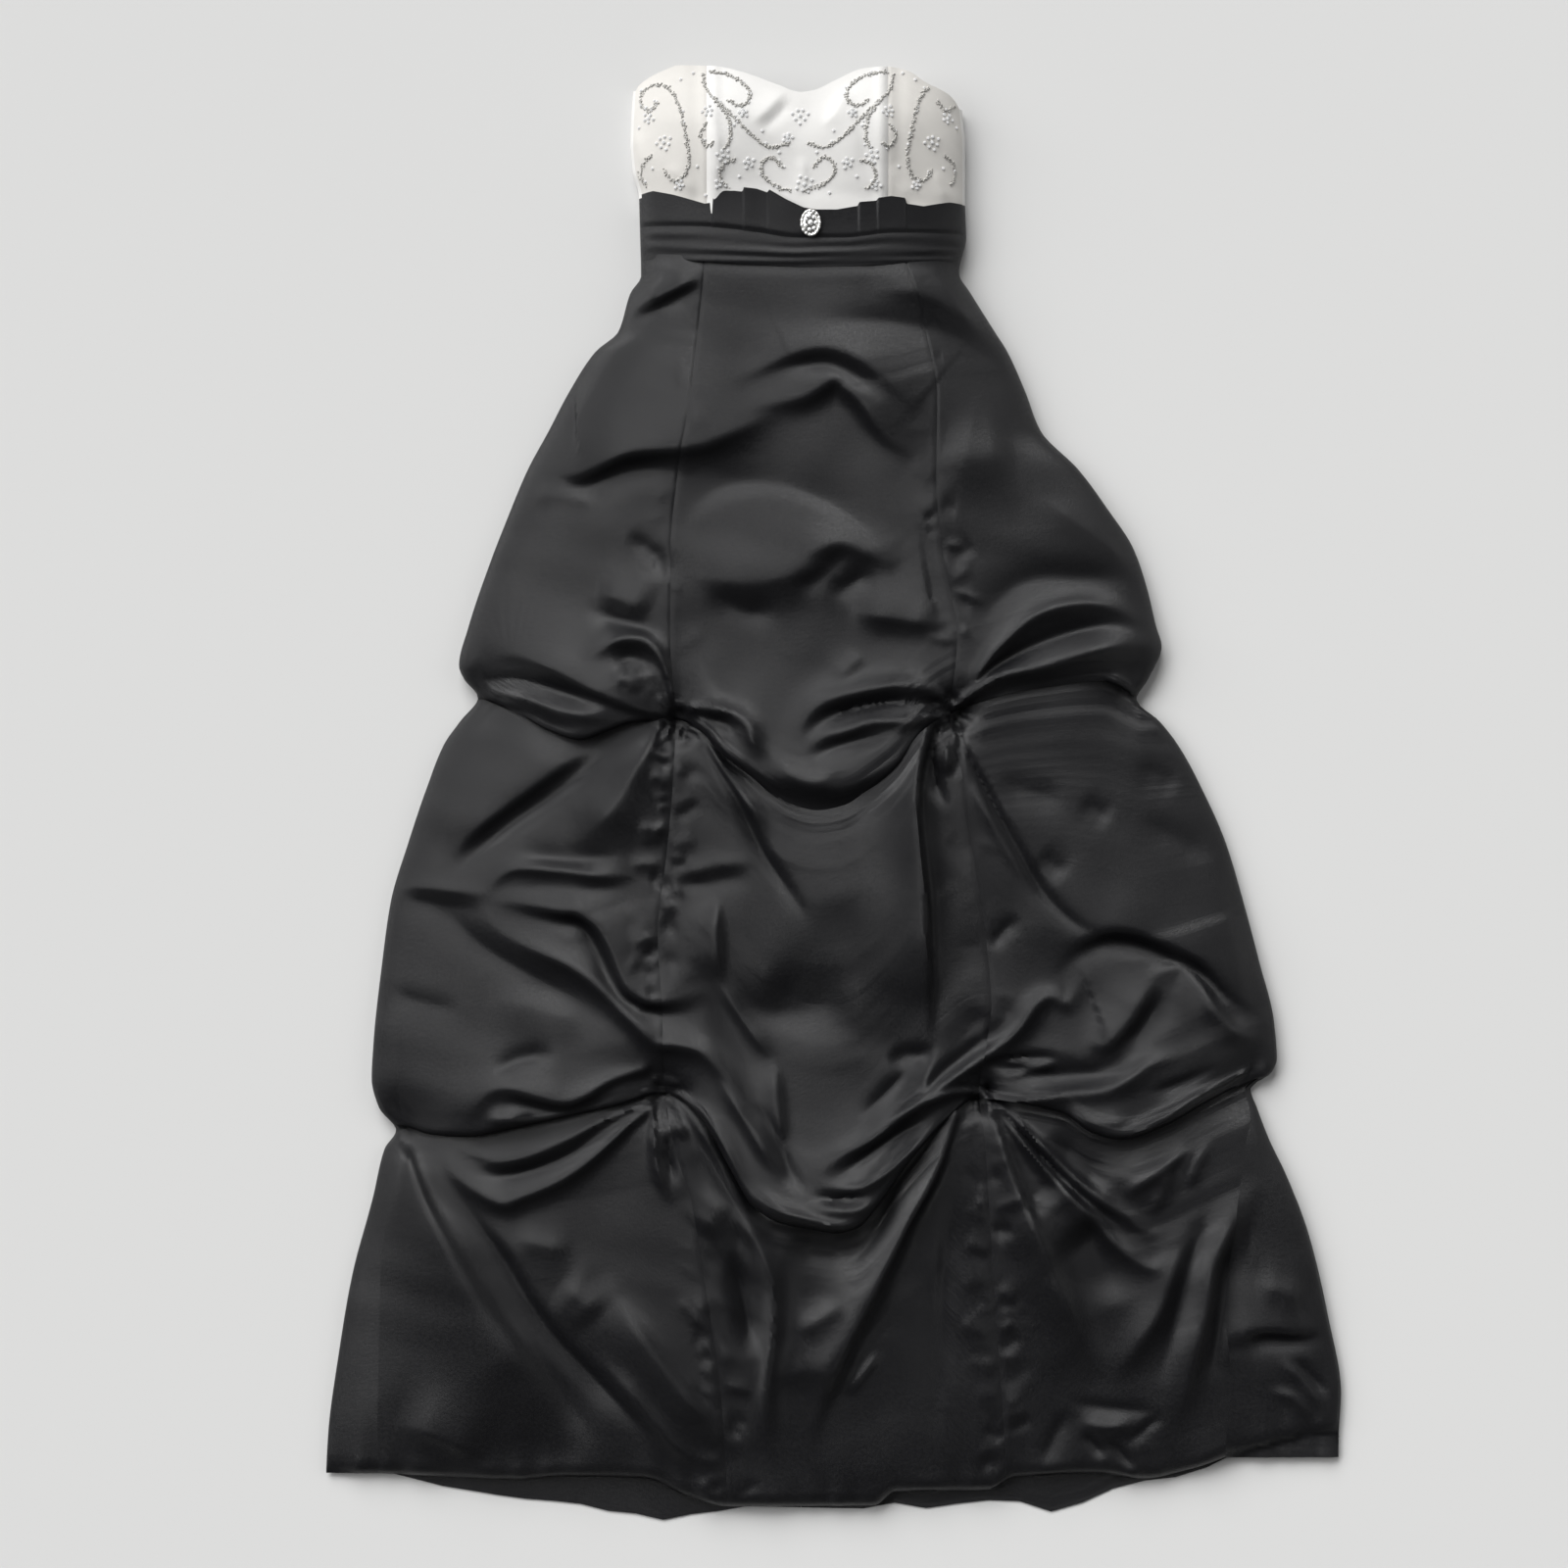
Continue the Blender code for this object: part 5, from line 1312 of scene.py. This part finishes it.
class GownSkirtBack(bpy.types.Operator):
    """The two back gores, which wrap round the sides"""

    bl_idname = "gown.skirt_back"
    bl_label = "Skirt back"

    def execute(self, context):
        lines = (SKIRT_TOP, UPPER_PUFFS, LOWER_PUFFS, FRONT_HEM)
        fronts = [
            (above, below, lambda x, y, t=tier: skirt_height(x, y, t), 110)
            for tier, (above, below) in enumerate(zip(lines, lines[1:]))
        ]
        for side, name in ((-1, "skirt_back_left"), (1, "skirt_back_right")):
            grid = back_rows(fronts, side, hem=True)
            lay_sheet(name, grid, black_satin(), "black_satin", side < 0)
        return {"FINISHED"}


class GownBrooch(bpy.types.Operator):
    """An oval brooch: a silver dish set with round stones"""

    bl_idname = "gown.brooch"
    bl_label = "Brooch"

    def execute(self, context):
        metal = speckled("Brooch silver", (0.72, 0.71, 0.68), 0.24, 1.0, 900)
        glass = speckled("Brooch stones", (0.90, 0.90, 0.88), 0.10, 0.15, 600)
        middle_x, middle_y = BROOCH["x"] * MM, BROOCH["y"] * MM
        half_x, half_y = BROOCH["wide"] / 2 * MM, BROOCH["tall"] / 2 * MM
        low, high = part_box("brooch")
        seat = low[2]
        deselect_all()
        bpy.ops.mesh.primitive_cylinder_add(
            vertices=48, radius=1.0, depth=1.0, location=(middle_x, middle_y, seat + 0.0008)
        )
        dish = bpy.context.object
        dish.name = "brooch_dish"
        dish.data.name = "brooch_dish"
        dish.scale = (half_x, half_y, 0.0016)
        bpy.ops.object.transform_apply(location=True, rotation=True, scale=True)
        bpy.ops.object.mode_set(mode="EDIT")
        shape = bmesh.from_edit_mesh(dish.data)
        for face in shape.faces:
            face.select_set(face.normal.z > 0.9)
        bmesh.update_edit_mesh(dish.data)
        bpy.ops.mesh.inset(thickness=0.0012)
        bpy.ops.transform.translate(value=(0, 0, 0.0012))
        bpy.ops.mesh.inset(thickness=0.0016)
        bpy.ops.transform.translate(value=(0, 0, -0.0009))
        bpy.ops.mesh.inset(thickness=0.002)
        bpy.ops.transform.translate(value=(0, 0, 0.0012))
        bpy.ops.object.mode_set(mode="OBJECT")
        bevel = dish.modifiers.new("Bevel", "BEVEL")
        bevel.width = 0.0003
        bevel.segments = 2
        apply_modifiers(dish)
        dish.data.shade_smooth()
        dish.data.materials.append(metal)
        settle_piece(dish, "silver", "brooch")
        vertices, polygons = [], []
        points, faces = solid_of_bead("bead")
        rings = ((0, 0.0, 0.0030), (7, 0.50, 0.0021), (15, 0.86, 0.0015))
        for count, reach, radius in rings:
            for k in range(max(count, 1)):
                turn = math.tau * k / max(count, 1)
                place = np.array([
                    middle_x + half_x * reach * math.cos(turn),
                    middle_y + half_y * reach * math.sin(turn),
                    seat + 0.0026,
                ])  # fmt: skip
                base = len(vertices)
                vertices.extend((points * radius * (1, 1, 0.8) + place).tolist())
                polygons.extend([[base + i for i in face] for face in faces])
        mesh = bpy.data.meshes.new("brooch_stones")
        mesh.from_pydata(vertices, [], polygons)
        mesh.materials.append(glass)
        stones = bpy.data.objects.new("brooch_stones", mesh)
        context.scene.collection.objects.link(stones)
        settle_piece(stones, "silver")
        return {"FINISHED"}


class GownStageSet(bpy.types.Operator):
    """A pale floor, soft lights and a camera straight above the gown"""

    bl_idname = "gown.stage"
    bl_label = "Floor, lights and camera"

    def execute(self, context):
        stage = context.scene.gown_stage
        deselect_all()
        bpy.ops.mesh.primitive_plane_add(size=14.0, location=(0, 0, -0.0004))
        floor = context.object
        floor.name = "floor"
        bpy.ops.object.transform_apply(location=True, rotation=True, scale=True)
        material, nodes, links = principled("Pale floor")
        shader = nodes["Principled BSDF"]
        shader.inputs["Base Color"].default_value = (*stage.floor, 1)
        shader.inputs["Roughness"].default_value = 0.9
        shader.inputs["Specular IOR Level"].default_value = 0.1
        floor.data.materials.append(material)
        for name, way, spread, power in (
            ("Key", (-0.35, 1.0, 0.72), 44, stage.key),
            ("Left fill", (-1.0, 0.35, 0.66), 44, stage.fill),
            ("Right fill", (1.0, 0.35, 0.62), 44, stage.fill * 0.25),
        ):
            data = bpy.data.lights.new(name, "SUN")
            data.energy = power
            data.angle = math.radians(spread)
            light = bpy.data.objects.new(name, data)
            light.location = [3 * share for share in way]
            light.rotation_euler = light.location.to_track_quat("Z", "Y").to_euler()
            context.scene.collection.objects.link(light)
        world = bpy.data.worlds.new("Even light")
        world.use_nodes = True
        world.node_tree.nodes["Background"].inputs["Color"].default_value = (1, 1, 1, 1)
        world.node_tree.nodes["Background"].inputs["Strength"].default_value = stage.sky
        context.scene.world = world
        context.scene.view_settings.view_transform = "Standard"
        data = bpy.data.cameras.new("Camera")
        data.lens = stage.lens
        data.sensor_width = 36
        camera = bpy.data.objects.new("Camera", data)
        camera.location = (VIEW_MIDDLE[0] * MM, VIEW_MIDDLE[1] * MM, stage.height)
        context.scene.collection.objects.link(camera)
        context.scene.camera = camera
        return {"FINISHED"}


class GownPanel(bpy.types.Panel):
    """Builds the gown piece by piece"""

    bl_idname = "VIEW3D_PT_gown"
    bl_label = "Gown"
    bl_space_type = "VIEW_3D"
    bl_region_type = "UI"
    bl_category = "Gown"

    def draw(self, context):
        for operator in OPERATORS:
            self.layout.operator(operator.bl_idname)
        for group in ("gown_cloth", "gown_beads", "gown_stage"):
            values = getattr(context.scene, group)
            for name in values.__annotations__:
                self.layout.prop(values, name)


OPERATORS = (
    GownStageSet, GownBodice, GownBeadwork, GownWaist, GownBrooch, GownSkirtFront, GownSkirtBack,
)  # fmt: skip
GROUPS = (GownCloth, GownBeads, GownStage)


def register():
    for group in GROUPS:
        bpy.utils.register_class(group)
    bpy.types.Scene.gown_cloth = PointerProperty(type=GownCloth)
    bpy.types.Scene.gown_beads = PointerProperty(type=GownBeads)
    bpy.types.Scene.gown_stage = PointerProperty(type=GownStage)
    for operator in OPERATORS:
        bpy.utils.register_class(operator)
    bpy.utils.register_class(GownPanel)


def unregister():
    bpy.utils.unregister_class(GownPanel)
    for operator in reversed(OPERATORS):
        bpy.utils.unregister_class(operator)
    del bpy.types.Scene.gown_stage
    del bpy.types.Scene.gown_beads
    del bpy.types.Scene.gown_cloth
    for group in reversed(GROUPS):
        bpy.utils.unregister_class(group)


def main():
    register()
    bpy.ops.gown.stage()
    bpy.ops.gown.bodice()
    bpy.ops.gown.beadwork()
    bpy.ops.gown.waist()
    bpy.ops.gown.brooch()
    bpy.ops.gown.skirt_front()
    bpy.ops.gown.skirt_back()


if __name__ == "__main__":
    main()
